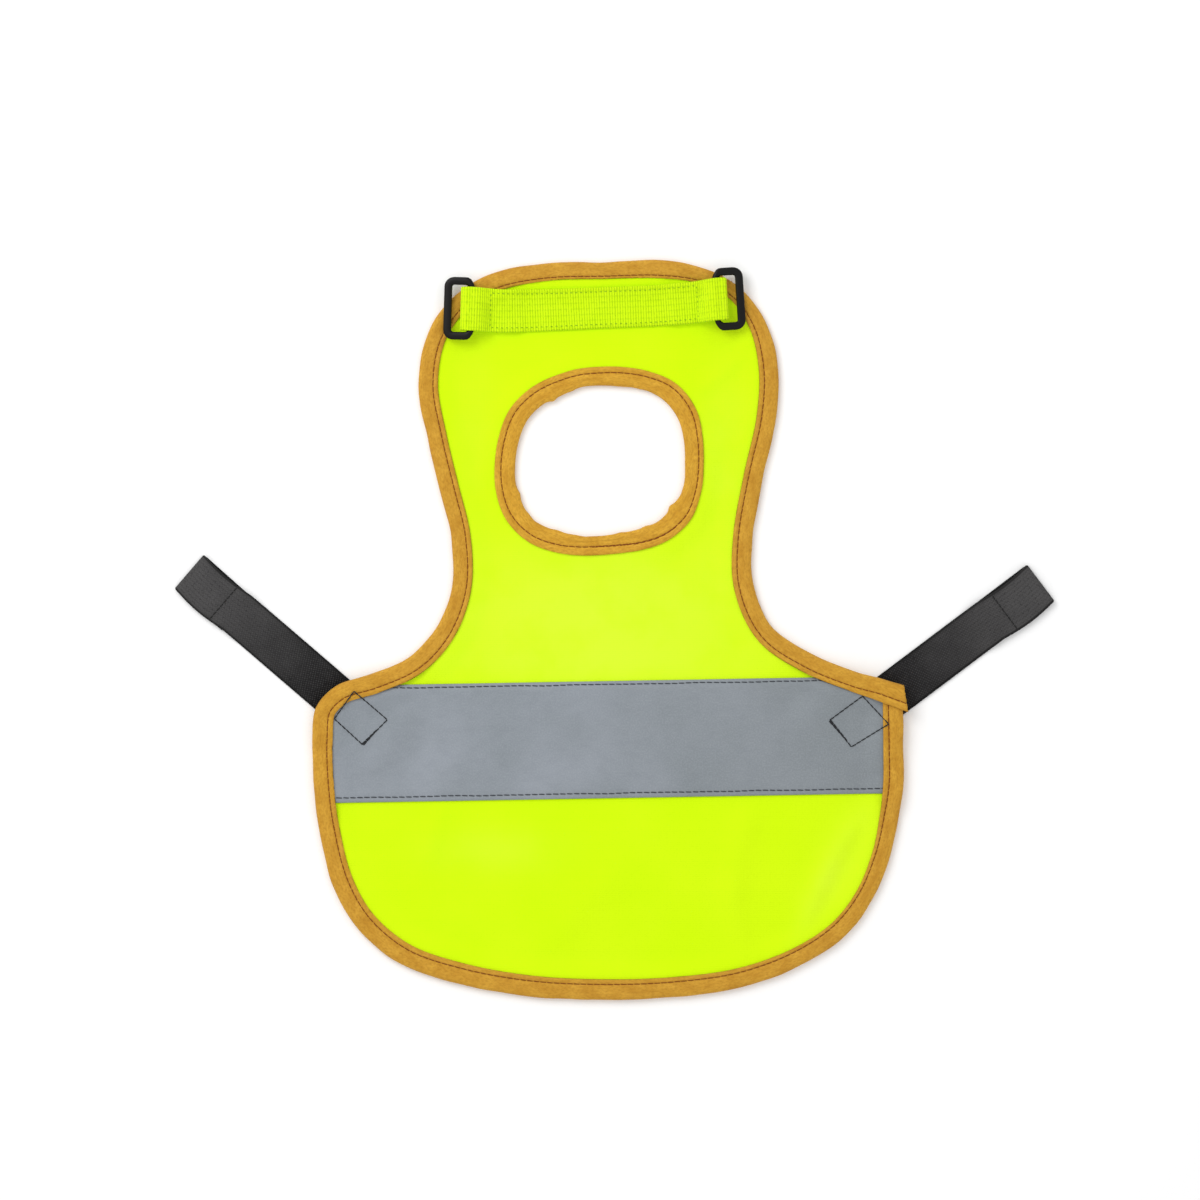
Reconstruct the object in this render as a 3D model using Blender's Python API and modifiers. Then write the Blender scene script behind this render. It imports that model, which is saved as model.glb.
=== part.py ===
"""A hi-vis safety vest for a hen, laid flat on a table with its neck end towards +Y.

The vest is a shaped panel with a neck hole, bound round both edges with folded tape. A reflective band
crosses it, a webbing strap with a ring at each end crosses the neck end, and an elastic strap leaves
each shoulder corner. Every piece is a separate wall with a small gap to the pieces it is sewn to.
"""

import math

import bmesh
import bpy
import numpy as np
from mathutils.geometry import delaunay_2d_cdt

# All the sizes below are millimetres. Blender's own unit is the metre.
MM = 0.001

# Thickness of each cloth, and the gap that parts two layers
GAP = 0.3
PANEL_T = 1.0
TAPE_T = 1.0
BAND_T = 1.0
WEBBING_T = 1.0
ELASTIC_T = 1.2

# Outer edge of the binding, clockwise from the corner where the tape's ends meet
OUTLINE = (
    # x, y, width of the tape that shows
    (123.9, -23.3, 9.0),
    (124.3, -35.0, 9.0),
    (123.5, -49.1, 8.9),
    (123.5, -65.8, 8.9),
    (121.2, -81.2, 8.7),
    (117.7, -96.6, 8.7),
    (110.2, -115.4, 8.6),
    (98.1, -131.2, 8.6),
    (79.3, -143.5, 8.3),
    (54.1, -152.8, 8.6),
    (23.7, -157.1, 8.8),
    (-6.2, -158.1, 9.0),
    (-36.1, -156.7, 9.2),
    (-66.0, -151.4, 9.2),
    (-91.7, -142.6, 9.4),
    (-110.0, -127.4, 9.3),
    (-120.3, -109.4, 9.2),
    (-126.1, -86.3, 8.9),
    (-128.6, -65.8, 8.8),
    (-129.1, -47.0, 8.9),
    (-127.4, -32.5, 8.9),
    (-118.5, -23.5, 8.8),
    (-103.2, -18.4, 8.8),
    (-87.4, -11.1, 8.9),
    (-76.1, 1.3, 8.8),
    (-69.6, 18.4, 8.5),
    (-69.9, 39.3, 8.5),
    (-74.6, 59.0, 8.5),
    (-79.9, 81.2, 8.5),
    (-83.9, 104.7, 8.6),
    (-79.9, 126.5, 8.3),
    (-68.6, 142.7, 8.3),
    (-51.9, 152.5, 8.2),
    (-29.7, 156.7, 7.6),
    (-5.3, 157.2, 7.2),
    (21.2, 158.0, 7.8),
    (38.7, 154.5, 7.0),
    (54.1, 145.8, 6.6),
    (64.9, 131.2, 7.6),
    (70.1, 111.1, 8.5),
    (69.0, 89.7, 8.5),
    (63.4, 64.1, 8.5),
    (59.1, 38.5, 8.6),
    (59.5, 19.2, 8.6),
    (67.6, 1.3, 8.6),
    (84.0, -9.9, 8.8),
    (104.0, -17.9, 8.9),
)

# Neck hole, as radii about its middle
NECK_X = -6.2
NECK_Y = 71.4
NECK_HOLE = (
    # angle in degrees from +X, radius of the folded edge, radius where the tape ends on the panel
    (0, 36.1, 44.3),
    (15, 36.9, 45.2),
    (30, 38.1, 47.0),
    (45, 37.9, 46.9),
    (60, 36.1, 44.3),
    (75, 33.5, 42.1),
    (90, 32.8, 41.0),
    (105, 33.1, 41.2),
    (120, 32.9, 42.0),
    (135, 34.7, 43.6),
    (150, 35.8, 44.8),
    (165, 35.7, 44.6),
    (180, 36.0, 44.9),
    (195, 36.9, 46.0),
    (210, 37.2, 46.9),
    (225, 36.4, 45.8),
    (240, 33.9, 43.0),
    (255, 31.9, 40.7),
    (270, 31.1, 39.4),
    (285, 31.0, 39.7),
    (300, 32.6, 41.7),
    (315, 35.1, 44.4),
    (330, 35.9, 45.8),
    (345, 36.8, 44.9),
)

# The panel's edge lies this far inside the fold of the tape, and beyond the tape it comes down to the
# table over a slope
PANEL_INSET = 2.0
SLOPE_START = 0.4
SLOPE = 9.0

# Spacing of the points round the two edges, and over the panel
OUTER_STEP = 9.0
NECK_STEP = 5.0
CORNER_STEP = 8.0
SAG = 0.13
SLOPE_SPACING = 2.4
LIFT_GRID = 5.5
LIFT_SPACING = 3.6
FLAT_GRID = 24.0
FLAT_SPACING = 11.0

# Reflective band: its middle line passes through this point at this tilt
BAND_X = -6.2
BAND_Y = -46.9
BAND_TILT = math.radians(1.0)
BAND_WIDTH = 50.0
BAND_MARGIN = 2.0
BAND_SLOPE = 8.0

# The points along the band's edges run past the vest's sides, and lie closer together near them
BAND_HALF_LENGTH = 138.0
BAND_FINE_FROM = 60.0
BAND_FINE_STEP = 6.0
BAND_COARSE = (-36.0, -12.0, 12.0, 36.0)

# Elastic straps, each from its sewn end under the panel to its free end
STRAPS = (
    # name, sewn end x, y, free end x, y, width, sideways drift of the folded-back hem
    ("elastic_strap_left", -100.0, -45.2, -181.7, 25.0, 19.2, 0.9),
    ("elastic_strap_right", 94.4, -45.7, 182.1, 20.2, 19.6, 0.7),
)
HEM_LENGTH = 27.0
HEM_CLEAR = 1.5
HEM_SLOPE = 9.0
STRAP_MARGIN = 3.0
STRAP_SLOPE = 14.0

# Webbing strap: its middle line from one ring's bar to the other's
WEBBING_LINE = (
    # x, y, width
    (-60.9, 137.0, 18.8),
    (-46.8, 136.6, 19.2),
    (-25.0, 137.3, 19.3),
    (-6.2, 138.3, 19.3),
    (15.0, 139.1, 19.3),
    (31.0, 140.1, 18.8),
    (43.4, 140.9, 17.4),
)
WEBBING_HEM = 16.0
WEBBING_COLUMNS = 7
LOOP_SLACK = 2.3

# The webbing stays at the tape's level near its bars and comes down towards its middle
LOW_LAYER_SLOPE = (2.0, 12.0)
TOP_LAYER_SLOPE = (1.0, 9.0)
HEM_END_SLOPE = (1.0, 8.0)
WEBBING_SPREAD = 1.6
TAPE_RAMP = 5.0
TAPE_RAMP_MARGIN = 0.75

# Rings: a round bar inside the webbing's loop, and a flatter frame outside it
RING_BAR_R = 1.2
RING_REACH = 10.3
RING_HALF = 11.7
RING_BAR_HALF = 9.7
RING_CORNER = 2.6
RING_FRAME_HALF_WIDTH = 1.6
RING_SQUARENESS = 1.4
RING_TILT = math.radians(6.5)
RING_SIDES = 12

# Points that a spline has between two rows of its table
SAMPLES = 24

# Levels worked out from the thicknesses
TAPE_LAYER = TAPE_T + GAP
PANEL_LEVEL = PANEL_T / 2
BAND_LAYER = PANEL_T / 2 + GAP + BAND_T / 2
STRAP_LAYER = ELASTIC_T + GAP
BINDING_TOP = 2 * TAPE_LAYER + PANEL_T
WEBBING_LAYER = WEBBING_T + GAP
LOOP_R = RING_BAR_R + GAP + WEBBING_T / 2
BAR_LEVEL = BINDING_TOP + GAP + WEBBING_T / 2 + LOOP_R


def smoothstep(t):
    t = np.clip(t, 0.0, 1.0)
    return t * t * (3.0 - 2.0 * t)


def falling(distance, slope):
    """One before the slope's start, zero past its end."""
    start, end = slope
    return smoothstep((end - distance) / (end - start))


def spline(rows, closed=False):
    """Centripetal Catmull-Rom curve through rows whose first two columns are x and y."""
    rows = np.array(rows, float)
    if closed:
        knots = np.vstack([rows[-1], rows, rows[0], rows[1]])
    else:
        knots = np.vstack([2 * rows[0] - rows[1], rows, 2 * rows[-1] - rows[-2]])
    pieces = []
    for p0, p1, p2, p3 in zip(knots, knots[1:], knots[2:], knots[3:]):
        t1 = math.dist(p0[:2], p1[:2]) ** 0.5
        t2 = t1 + math.dist(p1[:2], p2[:2]) ** 0.5
        t3 = t2 + math.dist(p2[:2], p3[:2]) ** 0.5
        t = np.linspace(t1, t2, SAMPLES, endpoint=False)[:, None]
        a1 = (t1 - t) / t1 * p0 + t / t1 * p1
        a2 = (t2 - t) / (t2 - t1) * p1 + (t - t1) / (t2 - t1) * p2
        a3 = (t3 - t) / (t3 - t2) * p2 + (t - t2) / (t3 - t2) * p3
        b1 = (t2 - t) / t2 * a1 + t / t2 * a2
        b2 = (t3 - t) / (t3 - t1) * a2 + (t - t1) / (t3 - t1) * a3
        pieces.append((t2 - t) / (t2 - t1) * b1 + (t - t1) / (t2 - t1) * b2)
    if not closed:
        pieces.append(rows[-1:])
    return np.vstack(pieces)


def arc_lengths(curve):
    steps = np.linalg.norm(np.diff(curve[:, :2], axis=0), axis=1)
    return np.concatenate([[0.0], np.cumsum(steps)])


def directions(curve):
    """Unit tangents of an open curve."""
    tangent = np.gradient(curve[:, :2], axis=0)
    return tangent / np.linalg.norm(tangent, axis=1)[:, None]


def stations(curve, longest, corner_step=0.0):
    """Rows of an open curve, closer together where it bends, with the unit tangent at each."""
    lengths = arc_lengths(curve)
    tangent = directions(curve)
    turn = np.linalg.norm(np.gradient(tangent, axis=0), axis=1) / np.gradient(lengths)
    spread = SAMPLES // 4
    window = np.ones(2 * spread + 1) / (2 * spread + 1)
    turn = np.convolve(np.pad(turn, spread, mode="edge"), window, mode="valid")
    straight = 8 * SAG / longest**2
    step = np.sqrt(8 * SAG / np.maximum(turn, straight))
    near_end = np.minimum(lengths, lengths[-1] - lengths) < corner_step
    step[near_end] = corner_step
    middles = (1 / step[1:] + 1 / step[:-1]) / 2
    count = np.concatenate([[0.0], np.cumsum(middles * np.diff(lengths))])
    wanted = np.linspace(0.0, count[-1], round(count[-1]) + 1)
    at = np.interp(wanted, count, lengths)
    rows = np.stack([np.interp(at, lengths, column) for column in curve.T], axis=1)
    tangent = np.stack([np.interp(at, lengths, column) for column in tangent.T], axis=1)
    return rows, tangent / np.linalg.norm(tangent, axis=1)[:, None]


def outer_stations():
    """Points round the vest's edge, the vector from each into the cloth, and the tape's width."""
    rows, tangent = stations(OUTER_CURVE, OUTER_STEP, CORNER_STEP)
    inward = np.stack([tangent[:, 1], -tangent[:, 0]], axis=1)
    mitre = inward[0] + inward[-1]
    inward[0] = mitre / (1.0 + inward[0] @ inward[-1])
    return rows[:-1, :2], inward[:-1], rows[:-1, 2]


def neck_stations():
    """The same round the neck hole, where the cloth lies away from its middle."""
    rows, tangent = stations(NECK_CURVE, NECK_STEP)
    outward = np.stack([tangent[:, 1], -tangent[:, 0]], axis=1)
    return rows[:-1, :2], outward[:-1], rows[:-1, 2]


def neck_rows():
    rows = []
    for degrees, fold, seam in NECK_HOLE:
        angle = math.radians(degrees)
        rows.append((NECK_X + fold * math.cos(angle), NECK_Y + fold * math.sin(angle), seam - fold))
    return rows


def close_loop(curve):
    return np.vstack([curve, curve[:1]])


OUTER_CURVE = spline(OUTLINE + OUTLINE[:1])
NECK_CURVE = close_loop(spline(neck_rows(), closed=True))


def nearest(curve, points):
    """Distance from each point to a curve, and the index of the closest row."""
    gaps = np.linalg.norm(points[:, None, :2] - curve[None, :, :2], axis=2)
    index = gaps.argmin(axis=1)
    return gaps[np.arange(len(points)), index], index


def inside(loop, points):
    """True for the points that lie within a closed loop."""
    x, y = points[:, :1], points[:, 1:2]
    x0, y0 = loop[:, 0], loop[:, 1]
    x1, y1 = np.roll(x0, -1), np.roll(y0, -1)
    crosses = (y0 > y) != (y1 > y)
    level = np.where(y1 == y0, 1.0, y1 - y0)
    left_of = x < x0 + (y - y0) * (x1 - x0) / level
    return (crosses & left_of).sum(axis=1) % 2 == 1


def edge_rise(points, spread=0.0):
    """Height of the panel's underside: its edges lie on the lower leg of the tape."""
    flat = np.ones(len(points))
    for curve in (OUTER_CURVE, NECK_CURVE):
        distance, index = nearest(curve, points)
        foot = curve[index, 2] + SLOPE_START + SLOPE + spread
        flat *= 1.0 - smoothstep((foot - distance) / SLOPE)
    return TAPE_LAYER * (1.0 - flat)


def strap_frame(strap):
    """Sewn end, unit vector towards the free end, unit vector across, and length of one strap."""
    sewn = np.array(strap[1:3])
    free = np.array(strap[3:5])
    length = math.dist(sewn, free)
    along = (free - sewn) / length
    return sewn, along, np.array([-along[1], along[0]]), length


def strap_lift(points):
    """How far everything is lifted where an elastic strap lies underneath."""
    lift = np.zeros(len(points))
    for strap in STRAPS:
        sewn, along, across, length = strap_frame(strap)
        offset = points[:, :2] - sewn
        beyond = np.maximum(0.0, -(offset @ along))
        beside = np.maximum(0.0, np.abs(offset @ across) - strap[5] / 2)
        away = np.hypot(beyond, beside) - STRAP_MARGIN
        lift = np.maximum(lift, STRAP_LAYER * smoothstep(1.0 - away / STRAP_SLOPE))
    return lift


def across_band(points):
    """Distance of each point from the reflective band's middle line."""
    normal = np.array([-math.sin(BAND_TILT), math.cos(BAND_TILT)])
    return (points[:, :2] - (BAND_X, BAND_Y)) @ normal


def band_raise(points):
    """How far the upper leg of the tape is raised where the band's end lies under it."""
    away = np.abs(across_band(points)) - BAND_WIDTH / 2 - BAND_MARGIN
    return (BAND_T + GAP) * smoothstep(1.0 - away / BAND_SLOPE)


def make_material(name, color, roughness):
    material = bpy.data.materials.new(name)
    material.use_nodes = True
    shader = material.node_tree.nodes["Principled BSDF"]
    shader.inputs["Base Color"].default_value = (*color, 1.0)
    shader.inputs["Roughness"].default_value = roughness
    shader.inputs["Metallic"].default_value = 0.0
    material.diffuse_color = (*color, 1.0)
    return material


def add_mesh(name, points, faces, material):
    """A new object in the vest's collection, from points in millimetres."""
    mesh = bpy.data.meshes.new(name)
    mesh.from_pydata([[c * MM for c in p] for p in points], [], faces)
    mesh.materials.append(material)
    mesh.shade_smooth()
    thing = bpy.data.objects.new(name, mesh)
    bpy.data.collections["hen_vest"].objects.link(thing)
    return thing


def add_cloth(name, points, faces, thickness, material):
    """A cloth wall: an open middle surface given its thickness by Solidify."""
    thing = add_mesh(name, points, faces, material)
    wall = thing.modifiers.new("wall", "SOLIDIFY")
    wall.thickness = thickness * MM
    wall.offset = 0.0
    wall.use_even_offset = True
    return thing


def grid_faces(rows, columns, closed_rows=False, closed_columns=False):
    """Quads over a grid of points that is stored row by row."""
    faces = []
    for i in range(rows if closed_rows else rows - 1):
        for j in range(columns if closed_columns else columns - 1):
            here = i * columns
            after = (i + 1) % rows * columns
            right = (j + 1) % columns
            faces.append((here + j, here + right, after + right, after + j))
    return faces


def add_binding(name, edge, into_cloth, widths, material):
    """Tape folded over an edge: a lower leg, a round fold and an upper leg, swept round the edge."""
    fold_r = TAPE_LAYER / 2 + PANEL_T / 2 + GAP / 2
    profile = [(None, 0.0), (0.5, 0.0)]
    for degrees in range(-90, 91, 45):
        angle = math.radians(degrees)
        profile.append((-math.cos(angle), math.sin(angle) + 1.0))
    profile += [(0.5, 2.0), (None, 2.0)]
    fold_x = fold_r + TAPE_T / 2
    points = []
    for place, side, width in zip(edge, into_cloth, widths):
        section = []
        for reach, level in profile:
            distance = width if reach is None else fold_x + reach * fold_r
            section.append((*(place + side * distance), level))
        section = np.array(section)
        raised = section[:, 2] / 2.0 * band_raise(section)
        section[:, 2] = TAPE_T / 2 + section[:, 2] * fold_r + raised + strap_lift(section)
        points.extend(section.tolist())
    faces = grid_faces(len(edge), len(profile), closed_rows=True)
    return add_cloth(name, points, faces, TAPE_T, material)


class Scatter:
    """Collects plan points that keep a least distance from each other."""

    def __init__(self):
        self.points = []
        self.edges = []

    def add_path(self, path, closed):
        start = len(self.points)
        self.points.extend([tuple(p) for p in path])
        count = len(path)
        for i in range(count if closed else count - 1):
            self.edges.append((start + i, start + (i + 1) % count))

    def add_free(self, candidates, spacing):
        for candidate in candidates:
            gaps = np.linalg.norm(np.array(self.points) - candidate, axis=1)
            if gaps.min() >= spacing:
                self.points.append(tuple(candidate))


def plan_grid(spacing):
    """Points in staggered rows over the whole vest."""
    low = OUTER_CURVE[:, :2].min(axis=0)
    high = OUTER_CURVE[:, :2].max(axis=0)
    points = []
    for row, y in enumerate(np.arange(low[1], high[1], spacing * math.sqrt(0.75))):
        for x in np.arange(low[0] + spacing / 2 * (row % 2), high[0], spacing):
            points.append((x, y))
    return np.array(points)


def band_line(side):
    """Points along the upper (side 1) or lower (side -1) edge of the band."""
    fine = np.arange(BAND_FINE_FROM, BAND_HALF_LENGTH + 1.0, BAND_FINE_STEP)
    places = np.concatenate([-fine[::-1], BAND_COARSE, fine])
    along = np.array([math.cos(BAND_TILT), math.sin(BAND_TILT)])
    across = np.array([-along[1], along[0]]) * side * BAND_WIDTH / 2
    return np.array([BAND_X, BAND_Y]) + across + places[:, None] * along


def panel_plan(outer, neck):
    """Triangles over the panel in plan, with edges along the band's two sides."""
    scatter = Scatter()
    outer_loop = outer[0] + outer[1] * PANEL_INSET
    neck_loop = neck[0] + neck[1] * PANEL_INSET
    scatter.add_path(outer_loop, closed=True)
    scatter.add_path(neck_loop, closed=True)
    for side in (1, -1):
        scatter.add_path(band_line(side), closed=False)
    for curve, (edge, side, widths) in ((OUTER_CURVE, outer), (NECK_CURVE, neck)):
        for share in (0.0, 0.5, 1.0):
            reach = widths + SLOPE_START + share * SLOPE
            ring = edge + side * reach[:, None]
            distance, _ = nearest(curve, ring)
            scatter.add_free(ring[distance > reach - TAPE_T], SLOPE_SPACING)
    lifted = plan_grid(LIFT_GRID)
    lift = strap_lift(lifted)
    scatter.add_free(lifted[(lift > 0.0) & (lift < STRAP_LAYER)], LIFT_SPACING)
    scatter.add_free(plan_grid(FLAT_GRID), FLAT_SPACING)
    plan, _, faces, _, _, _ = delaunay_2d_cdt(scatter.points, scatter.edges, [], 0, 1e-4, False)
    plan = np.array([tuple(p) for p in plan])
    faces = np.array([tuple(f) for f in faces])
    middle = plan[faces].mean(axis=1)
    keep = inside(outer_loop, middle) & ~inside(neck_loop, middle)
    return plan, faces[keep]


def compact(plan, faces):
    """Drops the points that no face uses."""
    used, renumbered = np.unique(faces, return_inverse=True)
    return plan[used], renumbered.reshape(faces.shape).tolist()


def add_panel_and_band(outer, neck, panel_material, band_material):
    """The panel, and the band made from the panel's own points moved up."""
    plan, faces = panel_plan(outer, neck)
    middle = plan[faces].mean(axis=1)
    on_band = np.abs(across_band(middle)) < BAND_WIDTH / 2
    for name, chosen, above, thickness, material in (
        ("body_panel", faces, 0.0, PANEL_T, panel_material),
        ("reflective_band", faces[on_band], BAND_LAYER, BAND_T, band_material),
    ):
        points, kept = compact(plan, chosen)
        level = edge_rise(points) + strap_lift(points) + PANEL_LEVEL + above
        add_cloth(name, np.column_stack([points, level]).tolist(), kept, thickness, material)


def add_ribbon(name, rows, thickness, material):
    """A strip of cloth from rows of points across its width."""
    points = [point for row in rows for point in row]
    faces = grid_faces(len(rows), len(rows[0]))
    return add_cloth(name, points, faces, thickness, material)


def add_elastic(strap, material):
    """Elastic strap: its free end is folded back underneath as a hem, the rest lies on the table."""
    name, drift, width = strap[0], strap[6], strap[5]
    sewn, along, across, length = strap_frame(strap)
    low = ELASTIC_T / 2
    high = low + STRAP_LAYER
    turn_r = STRAP_LAYER / 2
    turn_at = ELASTIC_T / 2 + turn_r
    slope = (HEM_LENGTH + HEM_CLEAR, HEM_LENGTH + HEM_CLEAR + HEM_SLOPE)
    profile = []
    for share in (1.0, 0.75, 0.5, 0.25, 0.1):
        profile.append((share * HEM_LENGTH, low, drift * math.sin(math.pi / 2 * share)))
    for degrees in range(-90, 91, 30):
        angle = math.radians(degrees)
        profile.append((turn_at - turn_r * math.cos(angle), high - turn_r * (1.0 - math.sin(angle)), 0.0))
    profile += [(share * slope[0], high, 0.0) for share in (0.35, 0.7)]
    for distance in np.linspace(*slope, 5):
        profile.append((distance, low + STRAP_LAYER * float(falling(distance, slope)), 0.0))
    profile += [(distance, low, 0.0) for distance in np.linspace(slope[1], length, 5)[1:]]
    rows = []
    for from_tip, level, sideways in profile:
        middle = sewn + along * (length - from_tip)
        sign = -1.0 if across[1] > 0 else 1.0
        row = []
        for share in (-0.5, 0.0, 0.5):
            place = middle + across * (share * width + sign * sideways)
            row.append((*place, level))
        rows.append(row)
    add_ribbon(name, rows, ELASTIC_T, material)


def webbing_place(distance):
    """Middle point, direction and width of the webbing at a distance from its left bar."""
    curve = WEBBING_CURVE
    lengths = arc_lengths(curve)
    tangent = directions(curve)
    at = min(max(distance, 0.0), lengths[-1])
    row = np.array([np.interp(at, lengths, column) for column in curve.T])
    along = np.array([np.interp(at, lengths, column) for column in tangent.T])
    along /= np.linalg.norm(along)
    return row[:2] + along * (distance - at), along, row[2]


WEBBING_CURVE = spline(WEBBING_LINE)
WEBBING_LENGTH = arc_lengths(WEBBING_CURVE)[-1]


def garment_top(points):
    """Height of the panel's upper side, or of the tape where that lies on it."""
    distance, index = nearest(OUTER_CURVE, points)
    distance = np.where(inside(OUTER_CURVE, points), distance, 0.0)
    beside_tape = distance - OUTER_CURVE[index, 2]
    over_tape = falling(beside_tape, (TAPE_RAMP_MARGIN, TAPE_RAMP_MARGIN + TAPE_RAMP))
    rise = np.maximum(edge_rise(points, WEBBING_SPREAD), TAPE_LAYER * over_tape)
    return PANEL_T + rise + TAPE_LAYER * over_tape


def webbing_row(distance, from_bar, layer, loop_level=None):
    """Points across the webbing: layer 0 lies on the garment, layer 1 on the folded-under end."""
    middle, along, width = webbing_place(distance)
    across = np.array([-along[1], along[0]])
    shares = np.linspace(-0.5, 0.5, WEBBING_COLUMNS)
    plan = middle + across * (shares * width)[:, None]
    if loop_level is not None:
        return [(*p, loop_level) for p in plan]
    near_bar = BINDING_TOP * falling(from_bar, LOW_LAYER_SLOPE)
    level = np.maximum(garment_top(plan), near_bar) + GAP + WEBBING_T / 2
    level += WEBBING_LAYER * layer
    if layer > 0:
        level += (BAR_LEVEL + LOOP_R - level) * falling(from_bar, TOP_LAYER_SLOPE)
    return [(*p, z) for p, z in zip(plan, level)]


def webbing_end():
    """One end as (distance from its bar towards the middle, layer, level in the loop or None)."""
    stops = [(d, 0.0, None) for d in np.linspace(WEBBING_HEM, 0.0, 6)]
    for degrees in range(-90, 91, 30):
        angle = math.radians(degrees)
        reach = LOOP_SLACK + LOOP_R * math.cos(angle)
        stops.append((-reach, 0.0, BAR_LEVEL + LOOP_R * math.sin(angle)))
    stops += [(d, 1.0, None) for d in np.linspace(0.0, WEBBING_HEM + HEM_END_SLOPE[0], 8)]
    for past_hem in np.linspace(*HEM_END_SLOPE, 4)[1:]:
        stops.append((WEBBING_HEM + past_hem, float(falling(past_hem, HEM_END_SLOPE)), None))
    return stops


def add_webbing(material):
    left = webbing_end()
    rows = [webbing_row(d, d, layer, level) for d, layer, level in left]
    clear = WEBBING_HEM + HEM_END_SLOPE[1]
    for d in np.linspace(clear, WEBBING_LENGTH - clear, 8)[1:-1]:
        rows.append(webbing_row(d, clear, 0.0))
    for d, layer, level in reversed(left):
        rows.append(webbing_row(WEBBING_LENGTH - d, d, layer, level))
    add_ribbon("webbing_strap", rows, WEBBING_T, material)


def ring_path():
    """Middle line of a ring as (out from the bar, along the bar), anticlockwise from the bar's end."""
    half = [(0.0, 0.0), (0.0, RING_BAR_HALF)]
    chamfer = RING_HALF - RING_BAR_HALF
    half += [(chamfer, RING_HALF), (RING_REACH - RING_CORNER, RING_HALF)]
    for degrees in (60, 30, 0):
        angle = math.radians(degrees)
        out = RING_REACH - RING_CORNER + RING_CORNER * math.cos(angle)
        half.append((out, RING_HALF - RING_CORNER + RING_CORNER * math.sin(angle)))
    mirrored = [(u, -v) for u, v in reversed(half[1:])]
    return half + [(RING_REACH, 0.0)] + mirrored


def ring_section(share):
    """Round on the bar (share 0), and a wider rounded rectangle on the frame (share 1)."""
    half_width = RING_BAR_R + (RING_FRAME_HALF_WIDTH - RING_BAR_R) * share
    power = 2.0 / (2.0 + RING_SQUARENESS * share)
    points = []
    for k in range(RING_SIDES):
        angle = 2 * math.pi * k / RING_SIDES
        c, s = math.cos(angle), math.sin(angle)
        points.append((
            math.copysign(abs(c) ** power, c) * half_width,
            math.copysign(abs(s) ** power, s) * RING_BAR_R,
        ))
    return points


def add_ring(name, bar_middle, heading, material):
    """A ring whose origin is the middle of its bar, on an empty that marks the hinge."""
    path = np.array(ring_path())
    before = path - np.roll(path, 1, axis=0)
    after = np.roll(path, -1, axis=0) - path
    before /= np.linalg.norm(before, axis=1)[:, None]
    after /= np.linalg.norm(after, axis=1)[:, None]
    mitre = before + after
    normal = np.stack([mitre[:, 1], -mitre[:, 0]], axis=1)
    normal /= (1.0 + (before * after).sum(axis=1))[:, None]
    points = []
    for place, side in zip(path, normal):
        share = min(1.0, place[0] / (RING_HALF - RING_BAR_HALF))
        for wide, high in ring_section(share):
            points.append((*(place + side * wide), high))
    faces = grid_faces(len(path), RING_SIDES, closed_rows=True, closed_columns=True)
    ring = add_mesh(name, points, faces, material)
    pivot = bpy.data.objects.new(name + "_hinge", None)
    pivot.location = (bar_middle[0] * MM, bar_middle[1] * MM, BAR_LEVEL * MM)
    pivot.rotation_euler = (0.0, 0.0, heading)
    bpy.data.collections["hinges"].objects.link(pivot)
    ring.parent = pivot
    ring.rotation_euler = (0.0, RING_TILT, 0.0)
    return ring


def face_outwards(thing):
    """Turns the faces of a closed mesh to the outside."""
    body = bmesh.new()
    body.from_mesh(thing.data)
    bmesh.ops.recalc_face_normals(body, faces=body.faces)
    body.to_mesh(thing.data)
    body.free()


def add_rings(material):
    for name, distance, turned in (("ring_left", 0.0, math.pi), ("ring_right", WEBBING_LENGTH, 0.0)):
        middle, along, _ = webbing_place(distance)
        heading = math.atan2(along[1], along[0]) + turned
        face_outwards(add_ring(name, middle, heading, material))


def clear_scene():
    for thing in list(bpy.data.objects):
        bpy.data.objects.remove(thing)


def main():
    clear_scene()
    for name in ("hen_vest", "hinges"):
        collection = bpy.data.collections.new(name)
        bpy.context.scene.collection.children.link(collection)
    yellow = make_material("hi_vis_yellow", (0.66, 1.0, 0.01), 0.75)
    mustard = make_material("mustard_tape", (0.68, 0.36, 0.06), 0.6)
    silver = make_material("reflective_silver", (0.29, 0.32, 0.36), 0.5)
    lime = make_material("lime_webbing", (0.60, 0.92, 0.01), 0.7)
    black = make_material("black_elastic", (0.03, 0.03, 0.03), 0.85)
    plastic = make_material("black_plastic", (0.012, 0.012, 0.014), 0.35)
    outer = outer_stations()
    neck = neck_stations()
    add_panel_and_band(outer, neck, yellow, silver)
    add_binding("outer_binding", *outer, mustard)
    add_binding("neck_binding", *neck, mustard)
    for strap in STRAPS:
        add_elastic(strap, black)
    add_webbing(lime)
    add_rings(plastic)


main()
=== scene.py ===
"""Looks of a hi-vis safety vest for a hen, laid flat: cloth, sewing, rings, floor, light and camera."""

import math

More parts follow.
